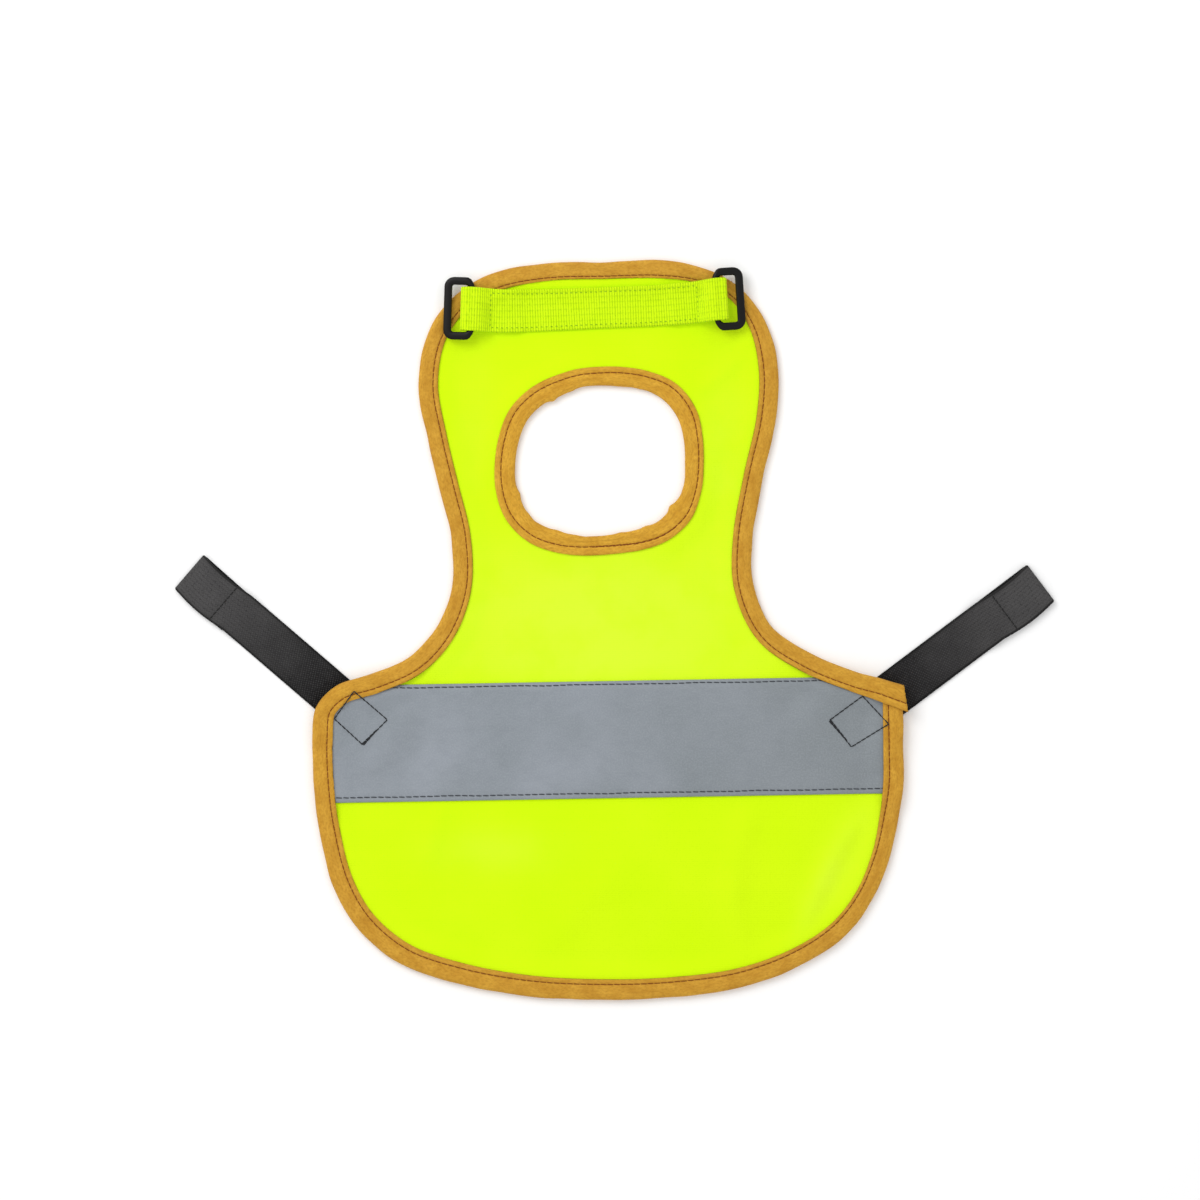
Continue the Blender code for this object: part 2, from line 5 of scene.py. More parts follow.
import bpy
import numpy as np
from mathutils.geometry import delaunay_2d_cdt
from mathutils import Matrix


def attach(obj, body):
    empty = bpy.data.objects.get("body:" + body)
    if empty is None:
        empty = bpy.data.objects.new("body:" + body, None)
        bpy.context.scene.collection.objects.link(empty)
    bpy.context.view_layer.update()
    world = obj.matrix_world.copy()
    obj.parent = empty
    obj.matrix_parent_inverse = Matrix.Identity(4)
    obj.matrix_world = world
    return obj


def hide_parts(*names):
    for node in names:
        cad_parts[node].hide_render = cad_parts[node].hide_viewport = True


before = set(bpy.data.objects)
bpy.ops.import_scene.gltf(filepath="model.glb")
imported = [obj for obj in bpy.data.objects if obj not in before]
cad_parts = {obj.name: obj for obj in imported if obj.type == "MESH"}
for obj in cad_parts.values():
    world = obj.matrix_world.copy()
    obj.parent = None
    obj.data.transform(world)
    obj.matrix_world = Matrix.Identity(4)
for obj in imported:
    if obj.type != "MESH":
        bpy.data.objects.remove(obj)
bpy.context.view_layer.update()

# All the sizes below are millimetres. Blender's own unit is the metre.
MM = 0.001

# The solids' layers, which the fine cloth follows
GAP = 0.3
PANEL_T = 1.0
TAPE_T = 1.0
BAND_T = 1.0
WEBBING_T = 1.0
ELASTIC_T = 1.2
TAPE_LAYER = TAPE_T + GAP
PANEL_LEVEL = PANEL_T / 2
BAND_LAYER = PANEL_T / 2 + GAP + BAND_T / 2
STRAP_LAYER = ELASTIC_T + GAP
BINDING_TOP = 2 * TAPE_LAYER + PANEL_T
WEBBING_LAYER = WEBBING_T + GAP
FOLD_R = TAPE_LAYER / 2 + PANEL_T / 2 + GAP / 2
FOLD_X = FOLD_R + TAPE_T / 2

# Thickness of the fine cloth that shows, and how round its edges are as a part of that
EDGE_ROUNDING = 0.4
PANEL_CLOTH = 0.8
BAND_CLOTH = 0.6
TAPE_CLOTH = 0.7
WEBBING_CLOTH = 0.95
ELASTIC_CLOTH = 1.15

# Outer edge of the binding, clockwise from the corner where the tape's ends meet
OUTLINE = (
    # x, y, width of the tape that shows, distance of its stitches from its inner edge
    (123.9, -23.3, 9.0, 2.4),
    (124.3, -35.0, 9.0, 2.4),
    (123.5, -49.1, 8.9, 2.5),
    (123.5, -65.8, 8.9, 2.6),
    (121.3, -81.2, 8.3, 1.9),
    (117.8, -96.6, 7.8, 1.4),
    (110.2, -115.4, 7.8, 1.3),
    (98.1, -131.2, 8.0, 1.3),
    (79.3, -143.5, 8.1, 1.6),
    (54.1, -152.8, 8.5, 1.9),
    (23.7, -157.1, 8.8, 2.1),
    (-6.2, -158.1, 9.0, 2.2),
    (-36.1, -156.7, 9.2, 2.3),
    (-66.0, -151.4, 9.2, 2.3),
    (-91.7, -142.6, 9.4, 2.4),
    (-110.0, -127.4, 9.3, 2.3),
    (-120.3, -109.4, 9.2, 2.3),
    (-126.1, -86.3, 8.9, 2.3),
    (-128.6, -65.8, 8.8, 2.3),
    (-129.1, -47.0, 8.9, 2.4),
    (-127.4, -32.5, 8.9, 2.4),
    (-118.5, -23.5, 8.8, 2.4),
    (-103.2, -18.4, 8.8, 2.3),
    (-87.4, -11.1, 8.9, 2.3),
    (-76.1, 1.3, 8.8, 2.3),
    (-69.6, 18.4, 8.5, 2.2),
    (-69.9, 39.3, 8.5, 2.2),
    (-74.6, 59.0, 8.5, 2.2),
    (-79.9, 81.2, 8.5, 2.2),
    (-83.9, 104.7, 8.6, 2.2),
    (-79.9, 126.5, 8.3, 2.1),
    (-68.6, 142.7, 8.3, 2.0),
    (-51.9, 152.5, 8.2, 1.5),
    (-29.7, 156.7, 7.6, 1.1),
    (-5.3, 157.2, 7.2, 1.0),
    (21.2, 158.0, 7.8, 1.1),
    (38.7, 154.5, 7.0, 1.1),
    (54.1, 145.8, 6.6, 1.5),
    (64.9, 131.2, 7.6, 2.0),
    (70.1, 111.1, 8.5, 2.2),
    (69.0, 89.7, 8.5, 2.2),
    (63.4, 64.1, 8.5, 2.2),
    (59.1, 38.5, 8.6, 2.3),
    (59.5, 19.2, 8.6, 2.3),
    (67.6, 1.3, 8.6, 2.3),
    (84.0, -9.9, 8.8, 2.3),
    (104.0, -17.9, 8.9, 2.3),
)

# The tape starts under its own end, and its end lies over its start and spreads a little
TAPE_START = (
    # x, y, width, distance of the stitches from the inner edge
    (122.9, -25.4, 8.6, 2.4),
    (123.3, -38.0, 8.8, 2.4),
)
TAPE_END = (
    (114.6, -20.9, 9.6, 3.1),
    (123.3, -23.2, 11.0, 3.4),
)
LAP_LENGTH = 15.0
LAP_RAMP = 6.0
CUT_REACH = 8.0
CUT_SKEW = 0.44
CUT_FRAY = 0.22

# From one row of points to the next along the outer tape and the neck's tape
TAPE_STEP = 1.15
NECK_STEP = 0.9

# The tape's upper leg: full on both sides of its stitches, drawn in at them and low at its edge
TAPE_BODY_FULL = 0.2
TAPE_HEM_FULL = 0.1
TAPE_GROOVE = 0.5
TAPE_GROOVE_HALF_WIDTH = 0.5
TAPE_EDGE = 0.8
TAPE_EDGE_DIP = 0.5

# The outer tape's fold wavers a little, and its stitches start this far along it
TAPE_EDGE_WAVE = 0.16
TAPE_EDGE_WAVE_LENGTH = 5.5
TAPE_SEAM_START = 5.0

# Puckers across both tapes, deeper in some places than in others
PUCKER_DEPTH = 0.10
PUCKER_CHANGE = 0.06
PUCKER_CHANGE_LENGTH = 23.0
PUCKER_LENGTHS = (0.95, 2.1)

# Neck hole, as radii about its middle
NECK_X = -6.2
NECK_Y = 71.4
NECK_HOLE = (
    # angle in degrees from +X, radius of the folded edge, radius where the tape ends on the panel
    (0, 36.1, 44.3),
    (15, 36.9, 45.2),
    (30, 38.1, 47.0),
    (45, 37.9, 46.9),
    (60, 36.1, 44.3),
    (75, 33.5, 42.1),
    (90, 32.8, 41.0),
    (105, 33.1, 41.2),
    (120, 32.9, 42.0),
    (135, 34.7, 43.6),
    (150, 35.8, 44.8),
    (165, 35.7, 44.6),
    (180, 36.0, 44.9),
    (195, 36.9, 46.0),
    (210, 37.2, 46.9),
    (225, 36.4, 45.8),
    (240, 33.9, 43.0),
    (255, 31.9, 40.7),
    (270, 31.1, 39.4),
    (285, 31.0, 39.7),
    (300, 32.6, 41.7),
    (315, 35.1, 44.4),
    (330, 35.9, 45.8),
    (345, 36.8, 44.9),
)
NECK_STITCHES = (
    # angle in degrees, distance of the stitches from where the tape ends on the panel
    (0, 2.1),
    (90, 2.7),
    (180, 2.7),
    (225, 3.2),
    (270, 3.8),
    (315, 3.0),
    (360, 2.1),
)

# Between these angles the neck's seam is sewn over twice, this far outwards
NECK_SEAM_END = (263.0, 322.0)
NECK_SEAM_AGAIN = 0.35

# Puckers where the neck's tape was eased round the curve
NECK_NOTCHES = (
    # angle in degrees, how far the fold stands into the hole, half width in degrees
    (127, 0.9, 2.6),
    (111, 0.35, 3.0),
    (62, 0.3, 3.0),
    (201, 0.7, 3.2),
    (212, -0.3, 3.0),
    (221, -0.45, 4.0),
    (238, 0.45, 4.0),
    (258, -0.35, 5.0),
    (286, 0.3, 3.0),
    (306, 0.5, 3.0),
    (328, 1.0, 2.6),
    (338, -0.35, 4.0),
)

# The panel's edge lies inside the fold of the tape, and beyond the tape it comes down to the table
PANEL_INSET = 2.0
PANEL_SPACING = 2.1
SLOPE_START = 0.4
SLOPE = 9.0

# Small ripples beside the tape's seams, and the soft waves of the whole cloth
RIPPLE_HEIGHT = 0.09
RIPPLE_SIZE = 1.6
RIPPLE_REACH = (1.0, 11.0)
WAVE_HEIGHT = 0.1
WAVE_SIZES = (11.0, 13.0)

# Soft creases of the panel and the band
CREASES = (
    # x and y of one end, x and y of the other, half width, height
    (101.9, -84.0, 82.3, -124.0, 4.5, 1.3),
    (57.0, -80.0, 50.6, -111.1, 6.0, 1.0),
    (50.6, -111.1, 57.0, -143.0, 5.0, 0.8),
    (38.0, 104.0, 56.6, 121.0, 3.4, 0.9),
    (-63.0, 65.0, -50.0, 66.7, 3.2, 0.4),
    (-74.6, -78.0, -79.0, -98.0, 4.5, 0.8),
    (42.0, 86.0, 54.5, 68.0, 4.0, 0.45),
    (-25.0, 16.0, 17.0, 30.0, 8.0, 0.5),
    (-49.0, -3.0, -10.0, -11.0, 9.0, 0.45),
    (0.0, -105.0, -25.0, -130.0, 8.0, 0.8),
    (-58.0, 100.0, -47.0, 88.0, 4.0, 0.35),
    (24.0, 8.0, 46.0, -4.0, 6.0, 0.4),
    (-100.0, -92.0, -60.0, -128.0, 8.0, 0.4),
    (18.0, -88.0, 8.0, -74.0, 7.0, 0.35),
)
CREASE_BEND = 0.18
CREASE_OVERRUN = 0.35
CREASE_FADE = 0.5

# Parts of the panel painted paler and less saturated: painted highlights laid along its creases, where the
# cloth rises
CREASE_HIGHLIGHTS = (
    # x, y, half length, half width, turn in degrees, strength
    (-6.0, 8.0, 72.0, 30.0, 0.0, 0.75),
    (-6.0, -15.0, 64.0, 9.0, 0.0, 0.3),
    (48.0, 72.0, 30.0, 13.0, 90.0, 0.4),
    (-60.0, 84.0, 30.0, 10.0, 90.0, 0.2),
    (92.0, -104.0, 26.0, 5.0, 64.0, 0.35),
    (101.0, -96.0, 26.0, 12.0, 64.0, 0.25),
    (-52.0, -94.0, 26.0, 9.0, 0.0, 0.3),
)

# Reflective band: its middle line passes through this point at this tilt
BAND_X = -6.2
BAND_Y = -46.9
BAND_TILT = math.radians(1.0)
BAND_WIDTH = 50.0
BAND_MARGIN = 2.0
BAND_SLOPE = 8.0
BAND_LENGTH = 249.0
BAND_STITCH_TOP = 1.4
BAND_STITCH_BOTTOM = 2.1
BAND_STITCH_PITCH = 3.0
BAND_STITCH_END = 6.0
BAND_STITCH_WANDER = 0.16
BAND_STITCH_WANDER_LENGTH = 7.0
BAND_SEAM_HALF_WIDTH = 0.8
BAND_SEAM_DIP = 0.22
BAND_EDGE = 2.5
BAND_EDGE_DIP = 0.3

# Elastic straps, each from its sewn end under the panel to its free end
STRAPS = (
    # name, sewn end x, y, free end x, y, width, sideways drift of the folded-back hem
    ("elastic_strap_left", -100.0, -45.2, -181.7, 25.0, 19.2, 0.4),
    ("elastic_strap_right", 94.4, -45.7, 182.1, 20.2, 19.6, 0.1),
)
HEM_LENGTH = 27.0
HEM_CLEAR = 1.5
HEM_SLOPE = 9.0
HEM_STITCH = 20.0
HEM_GROOVE = 0.3
HEM_GROOVE_HALF_WIDTH = 0.7
HEM_SHIFT = 1.1
HEM_STITCH_REACH = 0.46
HEM_STITCH_LIFT = 0.08
STRAP_WAVE_HEIGHT = 0.06
STRAP_WAVE_LENGTH = 9.0
STRAP_MARGIN = 3.0
STRAP_SLOPE = 14.0

# Sewn box over each strap's end
BOXES = (
    # corners x, y, and the run that is sewn over again: from corner, to corner, part of that side
    (((-111.1, -26.1), (-97.0, -38.3), (-107.5, -49.0), (-119.5, -37.9)), (2, 1, 0.6)),
    (((105.8, -28.2), (116.9, -40.1), (101.1, -49.9), (91.8, -38.5)), (3, 2, 0.8)),
)
BOX_AGAIN_ASIDE = 0.4
BOX_OVER_TAPE = 0.3
BOX_TAPE_RAMP = (0.0, 0.8)

# Webbing strap: its middle line from one ring's bar to the other's
WEBBING_LINE = (
    # x, y
    (-60.9, 137.0),
    (-46.8, 136.6),
    (-25.0, 137.3),
    (-6.2, 138.3),
    (15.0, 139.1),
    (31.0, 140.1),
    (43.4, 140.9),
)
WEBBING_HEM = 16.0
LOOP_SLACK = 2.3
LOW_LAYER_SLOPE = (2.0, 12.0)
TOP_LAYER_SLOPE = (1.0, 9.0)
HEM_END_SLOPE = (1.0, 8.0)
WEBBING_SPREAD = 1.6
TAPE_RAMP = 5.0
TAPE_RAMP_MARGIN = 0.75
WEBBING_EDGES = (
    # distance from the left bar, and how far the upper and the lower edge lie from the middle line
    (0.0, 9.3, -9.4),
    (14.0, 8.7, -9.6),
    (36.0, 8.3, -9.5),
    (54.7, 7.9, -9.6),
    (76.0, 7.9, -9.6),
    (92.0, 8.1, -9.5),
    (104.4, 9.2, -8.9),
)
WEBBING_STITCH_INSET = 1.9
WEBBING_STITCH_ACROSS = 8.0
WEBBING_STITCH_STEP = 0.8
WEBBING_STITCH_REACH = 0.4
WEBBING_FLAT_WIDTH = 18.0
RIB_PITCH = 1.1
RIB_HEIGHT = 0.09
RIB_ROWS = 7
ROW_HEIGHT = 0.05

# Rings: a round bar inside the webbing's loop, and a flatter frame outside it
RING_BAR_R = 1.2
RING_REACH = 10.3
RING_HALF = 11.7
RING_BAR_HALF = 9.7
RING_CORNER = 2.6
RING_FRAME_HALF_WIDTH = 1.7
RING_SQUARENESS = 1.4
RING_TILT = math.radians(6.5)
LOOP_R = RING_BAR_R + GAP + WEBBING_T / 2
BAR_LEVEL = BINDING_TOP + GAP + WEBBING_T / 2 + LOOP_R

# Sewing thread
STITCH_PITCH = 2.9
THREAD_R = 0.24
THREAD_LIFT = 0.12
THREAD_SLANT = 0.07
LINE_STEP = 0.7
THREADS = {
    # name, darker and lighter 8-bit shade
    "brown": ((114, 54, 6), (156, 86, 14)),
    "grey": ((46, 50, 56), (80, 84, 90)),
    "dark": ((24, 26, 28), (52, 54, 58)),
    "green": ((138, 186, 0), (174, 214, 4)),
    "black": ((18, 18, 18), (38, 38, 38)),
}

# Points of a curve from one row of its table to the next
SAMPLES = 24

# The photograph's view: a square this wide, about this point, seen from straight above
VIEW_SIZE = 512.8
VIEW_X = -6.2
VIEW_Y = 12.8
LENS = 200.0
SENSOR = 36.0

# Floor, in millimetres, and light: a white sky and one softbox, placed in metres
FLOOR_SIZE = 6000.0
FLOOR_LEVEL = -0.05
SKY_STRENGTH = 0.88
KEY_PLACE = (-0.62, 0.62, 0.95)
KEY_TILT = math.radians(-33)
KEY_SIZE = 0.65
KEY_WATTS = 6.0


def smoothstep(t):
    t = np.clip(t, 0.0, 1.0)
    return t * t * (3.0 - 2.0 * t)


def falling(distance, slope):
    """One before the slope's start, zero past its end."""
    start, end = slope
    return smoothstep((end - distance) / (end - start))


def unit(vectors):
    return vectors / np.linalg.norm(vectors, axis=-1, keepdims=True)


def left_of(vector):
    """A plan vector turned left by a right angle."""
    return np.array([-vector[1], vector[0]])


def uneven(t, seed):
    """A smooth irregular wave between about -1 and 1, the same each run."""
    wave = np.sin(t + 1.7 * seed)
    wave = wave + 0.7 * np.sin(1.618 * t + 2.9 * seed + 0.8)
    wave = wave + 0.5 * np.sin(2.414 * t + 4.3 * seed + 1.9)
    return wave / 2.0


def spline(rows, closed=False):
    """Centripetal Catmull-Rom curve through rows whose first two columns are x and y."""
    rows = np.array(rows, float)
    if closed:
        knots = np.vstack([rows[-1], rows, rows[:2]])
    else:
        knots = np.vstack([2 * rows[0] - rows[1], rows, 2 * rows[-1] - rows[-2]])
    pieces = []
    for corners in zip(knots, knots[1:], knots[2:], knots[3:]):
        steps = [math.dist(a[:2], b[:2]) ** 0.5 for a, b in zip(corners, corners[1:])]
        at = np.concatenate([[0.0], np.cumsum(steps)])
        t = np.linspace(at[1], at[2], SAMPLES, endpoint=False)[:, None]
        for spans in (((0, 1), (1, 2), (2, 3)), ((0, 2), (1, 3)), ((1, 2),)):
            corners = [
                (at[j] - t) / (at[j] - at[i]) * a + (t - at[i]) / (at[j] - at[i]) * b
                for a, b, (i, j) in zip(corners, corners[1:], spans)
            ]
        pieces.append(corners[0])
    if not closed:
        pieces.append(rows[-1:])
    return np.vstack(pieces)


def arc_lengths(points):
    """Distance along a line of points to each of them."""
    steps = np.linalg.norm(np.diff(points, axis=0), axis=1)
    return np.concatenate([[0.0], np.cumsum(steps)])


def rotated(x, y, angle):
    return x * math.cos(angle) - y * math.sin(angle), x * math.sin(angle) + y * math.cos(angle)


def directions(curve):
    """Unit tangents of an open curve."""
    return unit(np.gradient(curve[:, :2], axis=0))


def resample(curve, step):
    """Distances, even rows, unit tangents and unit vectors into the cloth along a curve."""
    lengths = arc_lengths(curve[:, :2])
    tangent = directions(curve)
    at = np.linspace(0.0, lengths[-1], round(lengths[-1] / step) + 1)
    rows = np.stack([np.interp(at, lengths, column) for column in curve.T], axis=1)
    tangent = unit(np.stack([np.interp(at, lengths, column) for column in tangent.T], axis=1))
    into_cloth = np.stack([tangent[:, 1], -tangent[:, 0]], axis=1)
    return at, rows, tangent, into_cloth


def neck_rows():
    """The neck hole's folded edge as x, y and the width of the tape that shows."""
    rows = []
    for degrees, fold, seam in NECK_HOLE:
        angle = math.radians(degrees)
        rows.append((NECK_X + fold * math.cos(angle), NECK_Y + fold * math.sin(angle), seam - fold))
    return rows


def close_loop(curve):
    return np.vstack([curve, curve[:1]])


OUTER_CURVE = spline(OUTLINE + OUTLINE[:1])
TAPE_CURVE = spline(TAPE_START + OUTLINE[2:] + TAPE_END)
NECK_CURVE = close_loop(spline(neck_rows(), closed=True))
WEBBING_CURVE = spline(WEBBING_LINE)
WEBBING_LENGTH = arc_lengths(WEBBING_CURVE)[-1]


def in_chunks(work, points):
    """The results of work, done on a few thousand points at a time to save memory."""
    chunks = np.array_split(points, max(1, len(points) // 4000))
    return np.concatenate([work(chunk) for chunk in chunks])


def nearest(curve, points):
    """Distance from each point to a curve, and the index of the closest row."""

    def closest(chunk):
        return np.linalg.norm(chunk[:, None, :2] - curve[None, :, :2], axis=2).argmin(axis=1)

    index = in_chunks(closest, points)
    return np.linalg.norm(points[:, :2] - curve[index, :2], axis=1), index


def inside(loop, points):
    """True for the points that lie within a closed loop."""
    x0, y0 = loop[:, 0], loop[:, 1]
    x1, y1 = np.roll(x0, -1), np.roll(y0, -1)
    level = np.where(y1 == y0, 1.0, y1 - y0)

    def crossings(chunk):
        x, y = chunk[:, :1], chunk[:, 1:2]
        crosses = (y0 > y) != (y1 > y)
        return (crosses & (x < x0 + (y - y0) * (x1 - x0) / level)).sum(axis=1)

    return in_chunks(crossings, points) % 2 == 1


def flatness(points, spread=0.0):
    """One where the panel lies on the table, zero where the tape holds it up."""
    flat = np.ones(len(points))
    for curve in (OUTER_CURVE, NECK_CURVE):
        distance, index = nearest(curve, points)
        foot = curve[index, 2] + SLOPE_START + SLOPE + spread
        flat *= 1.0 - smoothstep((foot - distance) / SLOPE)
    return flat


def strap_frame(strap):
    """Sewn end, unit vector towards the free end, unit vector across, and length of one strap."""
    sewn = np.array(strap[1:3])
    free = np.array(strap[3:5])
    length = math.dist(sewn, free)
    along = (free - sewn) / length
    return sewn, along, left_of(along), length


def strap_lift(points):
    """How far everything is lifted where an elastic strap lies underneath."""
    lift = np.zeros(len(points))
    for strap in STRAPS:
        sewn, along, across, _ = strap_frame(strap)
        offset = points[:, :2] - sewn
        beyond = np.maximum(0.0, -(offset @ along))
        beside = np.maximum(0.0, np.abs(offset @ across) - strap[5] / 2)
        away = np.hypot(beyond, beside) - STRAP_MARGIN
        lift = np.maximum(lift, STRAP_LAYER * smoothstep(1.0 - away / STRAP_SLOPE))
    return lift


def across_band(points):
    """Distance of each point from the reflective band's middle line."""
    normal = np.array([-math.sin(BAND_TILT), math.cos(BAND_TILT)])
    return (points[:, :2] - (BAND_X, BAND_Y)) @ normal


def band_raise(points):
    """How far the upper leg of the tape is raised where the band's end lies under it."""
    away = np.abs(across_band(points)) - BAND_WIDTH / 2 - BAND_MARGIN
    return (BAND_T + GAP) * smoothstep(1.0 - away / BAND_SLOPE)


def relief(points):
    """Height of the creases and soft waves of cloth that was laid flat by hand."""
    x, y = points[:, 0], points[:, 1]
    waves = uneven(x / WAVE_SIZES[0], 1.0) * uneven(y / WAVE_SIZES[1], 2.0)
    height = WAVE_HEIGHT * (1.0 + waves)
    for x0, y0, x1, y1, half_width, top in CREASES:
        line = np.array([x1 - x0, y1 - y0])
        length = np.linalg.norm(line)
        offset = points[:, :2] - (x0, y0)
        share = offset @ line / length**2
        bend = CREASE_BEND * length * (share - share**2)
        sideways = offset @ left_of(line) / length + bend
        ends = smoothstep((share + CREASE_OVERRUN) / CREASE_FADE)
        ends = ends * smoothstep((1.0 + CREASE_OVERRUN - share) / CREASE_FADE)
        height = height + top * ends * np.exp(-((sideways / half_width) ** 2))
    return height


def crease_highlight(points):
    """How strongly the panel is painted paler, as a painted highlight along its creases, from 0 to about 1.
    """
    highlight = np.zeros(len(points))
    for x, y, half_length, half_width, degrees, strength in CREASE_HIGHLIGHTS:
        u, v = rotated(points[:, 0] - x, points[:, 1] - y, -math.radians(degrees))
        highlight += strength * np.exp(-((u / half_length) ** 2) - (v / half_width) ** 2)
    return highlight


def seam_ripples(points):
    """Small waves of the panel beside the sewn tape, where the thread draws it in."""
    height = np.zeros(len(points))
    for curve, seed in ((OUTER_CURVE, 3.0), (NECK_CURVE, 5.0)):
        lengths = arc_lengths(curve[:, :2])
        distance, index = nearest(curve, points)
        past_tape = distance - curve[index, 2]
        near = falling(past_tape, RIPPLE_REACH) * smoothstep((past_tape + 3.0) / 3.0)
        height += RIPPLE_HEIGHT * near * (1.0 + uneven(lengths[index] / RIPPLE_SIZE, seed))
    return height


def cloth_level(points):
    """Middle level of the panel."""
    flat = flatness(points)
    hills = flat * relief(points) + seam_ripples(points)
    return PANEL_LEVEL + TAPE_LAYER * (1.0 - flat) + strap_lift(points) + hills


def band_level(points):
    """Middle level of the band: its edges are drawn down by the stitches beside them."""
    off = across_band(points)
    from_top = np.abs(off - (BAND_WIDTH / 2 - BAND_STITCH_TOP))
    from_bottom = np.abs(off + (BAND_WIDTH / 2 - BAND_STITCH_BOTTOM))
    seam = np.exp(-((np.minimum(from_top, from_bottom) / BAND_SEAM_HALF_WIDTH) ** 2))
    edge = smoothstep((np.abs(off) - BAND_WIDTH / 2 + BAND_EDGE) / BAND_EDGE)
    return cloth_level(points) + BAND_LAYER - BAND_SEAM_DIP * seam - BAND_EDGE_DIP * edge


def grid_faces(rows, columns, closed_rows, closed_columns):
    """Quads over a grid of points that is stored row by row, and the grid place of each corner."""
    i = np.arange(rows if closed_rows else rows - 1)
    j = np.arange(columns if closed_columns else columns - 1)
    i, j = (grid.ravel() for grid in np.meshgrid(i, j, indexing="ij"))
    corner_rows = np.stack([i, i, i + 1, i + 1], axis=1)
    corner_columns = np.stack([j, j + 1, j + 1, j], axis=1)
    faces = corner_rows % rows * columns + corner_columns % columns
    return faces, corner_rows, corner_columns


def facing_out(points, faces, uv):
    """Quads and their flat coordinates, turned over where they enclose a negative volume."""
    a, b, c, d = (points[faces[:, k]] for k in range(4))
    if (np.cross(a, b) * c + np.cross(a, c) * d).sum() < 0:
        return faces[:, ::-1], uv[:, ::-1]
    return faces, uv


def add_object(name, data):
    piece = bpy.data.objects.new(name, data)
    bpy.context.scene.collection.objects.link(piece)
    return piece


def new_piece(name, points, faces, uv, material):
    """An object from points in millimetres, with the cloth's own flat coordinates as its UV map."""
    mesh = bpy.data.meshes.new(name)
    mesh.from_pydata((points * MM).tolist(), [], faces)
    layer = mesh.uv_layers.new(name="cloth")
    layer.data.foreach_set("uv", np.asarray(uv, np.float32).ravel())
    mesh.materials.append(material)
    mesh.shade_smooth()
    return add_object(name, mesh)


def shell(name, grid, thickness, along, across, material, closed_rows=False):
    """A closed wall of cloth with round edges about a grid of middle points."""
    rows, columns, _ = grid.shape
    if closed_rows:
        forward = np.roll(grid, -1, axis=0) - np.roll(grid, 1, axis=0)
    else:
        forward = np.gradient(grid, axis=0)
    sideways = np.gradient(grid, axis=1)
    half = unit(np.cross(forward, sideways)) * thickness / 2
    left, right = grid[:, :1], grid[:, -1:]
    inner = grid.copy()
    inner[:, :1] += unit(sideways[:, :1]) * EDGE_ROUNDING * thickness
    inner[:, -1:] -= unit(sideways[:, -1:]) * EDGE_ROUNDING * thickness
    ring = np.concatenate([inner + half, right, (inner - half)[:, ::-1], left], axis=1)
    width = ring.shape[1]
    points = ring.reshape(-1, 3)
    faces, corner_rows, corner_columns = grid_faces(rows, width, closed_rows, True)
    lap = np.concatenate([across, across[-1:], across[::-1], across[:1], across[:1]])
    uv = np.stack([along[corner_rows], lap[corner_columns]], axis=2)
    if not closed_rows:
        j = np.arange(columns - 1)
        cap = np.stack([j, 2 * columns - j, 2 * columns - j - 1, j + 1], axis=1)
        start_uv = np.stack([np.full(cap.shape, along[0]), lap[cap]], axis=2)
        end_uv = np.stack([np.full(cap.shape, along[rows - 1]), lap[cap]], axis=2)
        last = (rows - 1) * width
        faces = np.vstack([faces, cap, (cap + last)[:, ::-1]])
        uv = np.concatenate([uv, start_uv, end_uv[:, ::-1]])
    faces, uv = facing_out(points, faces, uv)
    faces = faces.tolist()
    uv = uv.reshape(-1, 2)
    if not closed_rows:
        tips = [(columns - 1, columns, columns + 1), (2 * columns, 2 * columns + 1, 0)]
        flipped = [tuple(reversed(tip)) for tip in tips]
        faces += tips + [tuple(k + last for k in tip) for tip in flipped]
        uv = np.vstack([uv, np.zeros((12, 2))])
    return new_piece(name, points, faces, uv, material)


def add_thread(name, lines, material, pitch=STITCH_PITCH, radius=THREAD_R, filled=1.0):
    """Stitches along lines of points: each is a bead of thread whose ends dive into the cloth."""
    steps, sides = 9, 6
    share = np.linspace(-1.0, 1.0, steps)
    thick = radius * np.sqrt(1.0 - 0.9 * share**4)
    rise = THREAD_LIFT * (1.0 - 2.0 * share**8)
    angles = np.arange(sides) * 2 * math.pi / sides
    quads, _, _ = grid_faces(steps, sides, False, True)
    caps = np.array([[0, 5, 4, 1], [1, 4, 3, 2]])
    bead = np.vstack([quads, caps, (caps + (steps - 1) * sides)[:, ::-1]])
    all_points, all_faces, all_uv = [], [], []
    start = 0
    for line in lines:
        line = np.asarray(line, float)
        lengths = arc_lengths(line)
        count = max(1, round(lengths[-1] / pitch))
        step = lengths[-1] / count
        middles = (np.arange(count) + 0.5) * step
        at = middles[:, None] + share * step * filled / 2
        middle = np.stack([np.interp(at, lengths, column) for column in line.T], axis=2)
        tangent = unit(np.gradient(middle, axis=1))
        side = unit(np.cross(tangent, (0.0, 0.0, 1.0)))
        up = np.cross(side, tangent)
        middle = middle + up * rise[:, None] + side * (share * THREAD_SLANT)[:, None]
        ring = np.cos(angles)[:, None] * side[:, :, None] + np.sin(angles)[:, None] * up[:, :, None]
        points = (middle[:, :, None] + ring * thick[:, None, None]).reshape(-1, 3)
        faces = (bead + (np.arange(count) * steps * sides)[:, None, None]).reshape(-1, 4)
        flat = np.stack([np.repeat(at.ravel(), sides), np.tile(angles, count * steps)], axis=1)
        all_points.append(points)
        all_faces.append(faces + start)
        all_uv.append(flat[faces])
        start += len(points)
    points = np.vstack(all_points)
    faces, uv = facing_out(points, np.vstack(all_faces), np.concatenate(all_uv))
    return new_piece(name, points, faces.tolist(), uv, material)


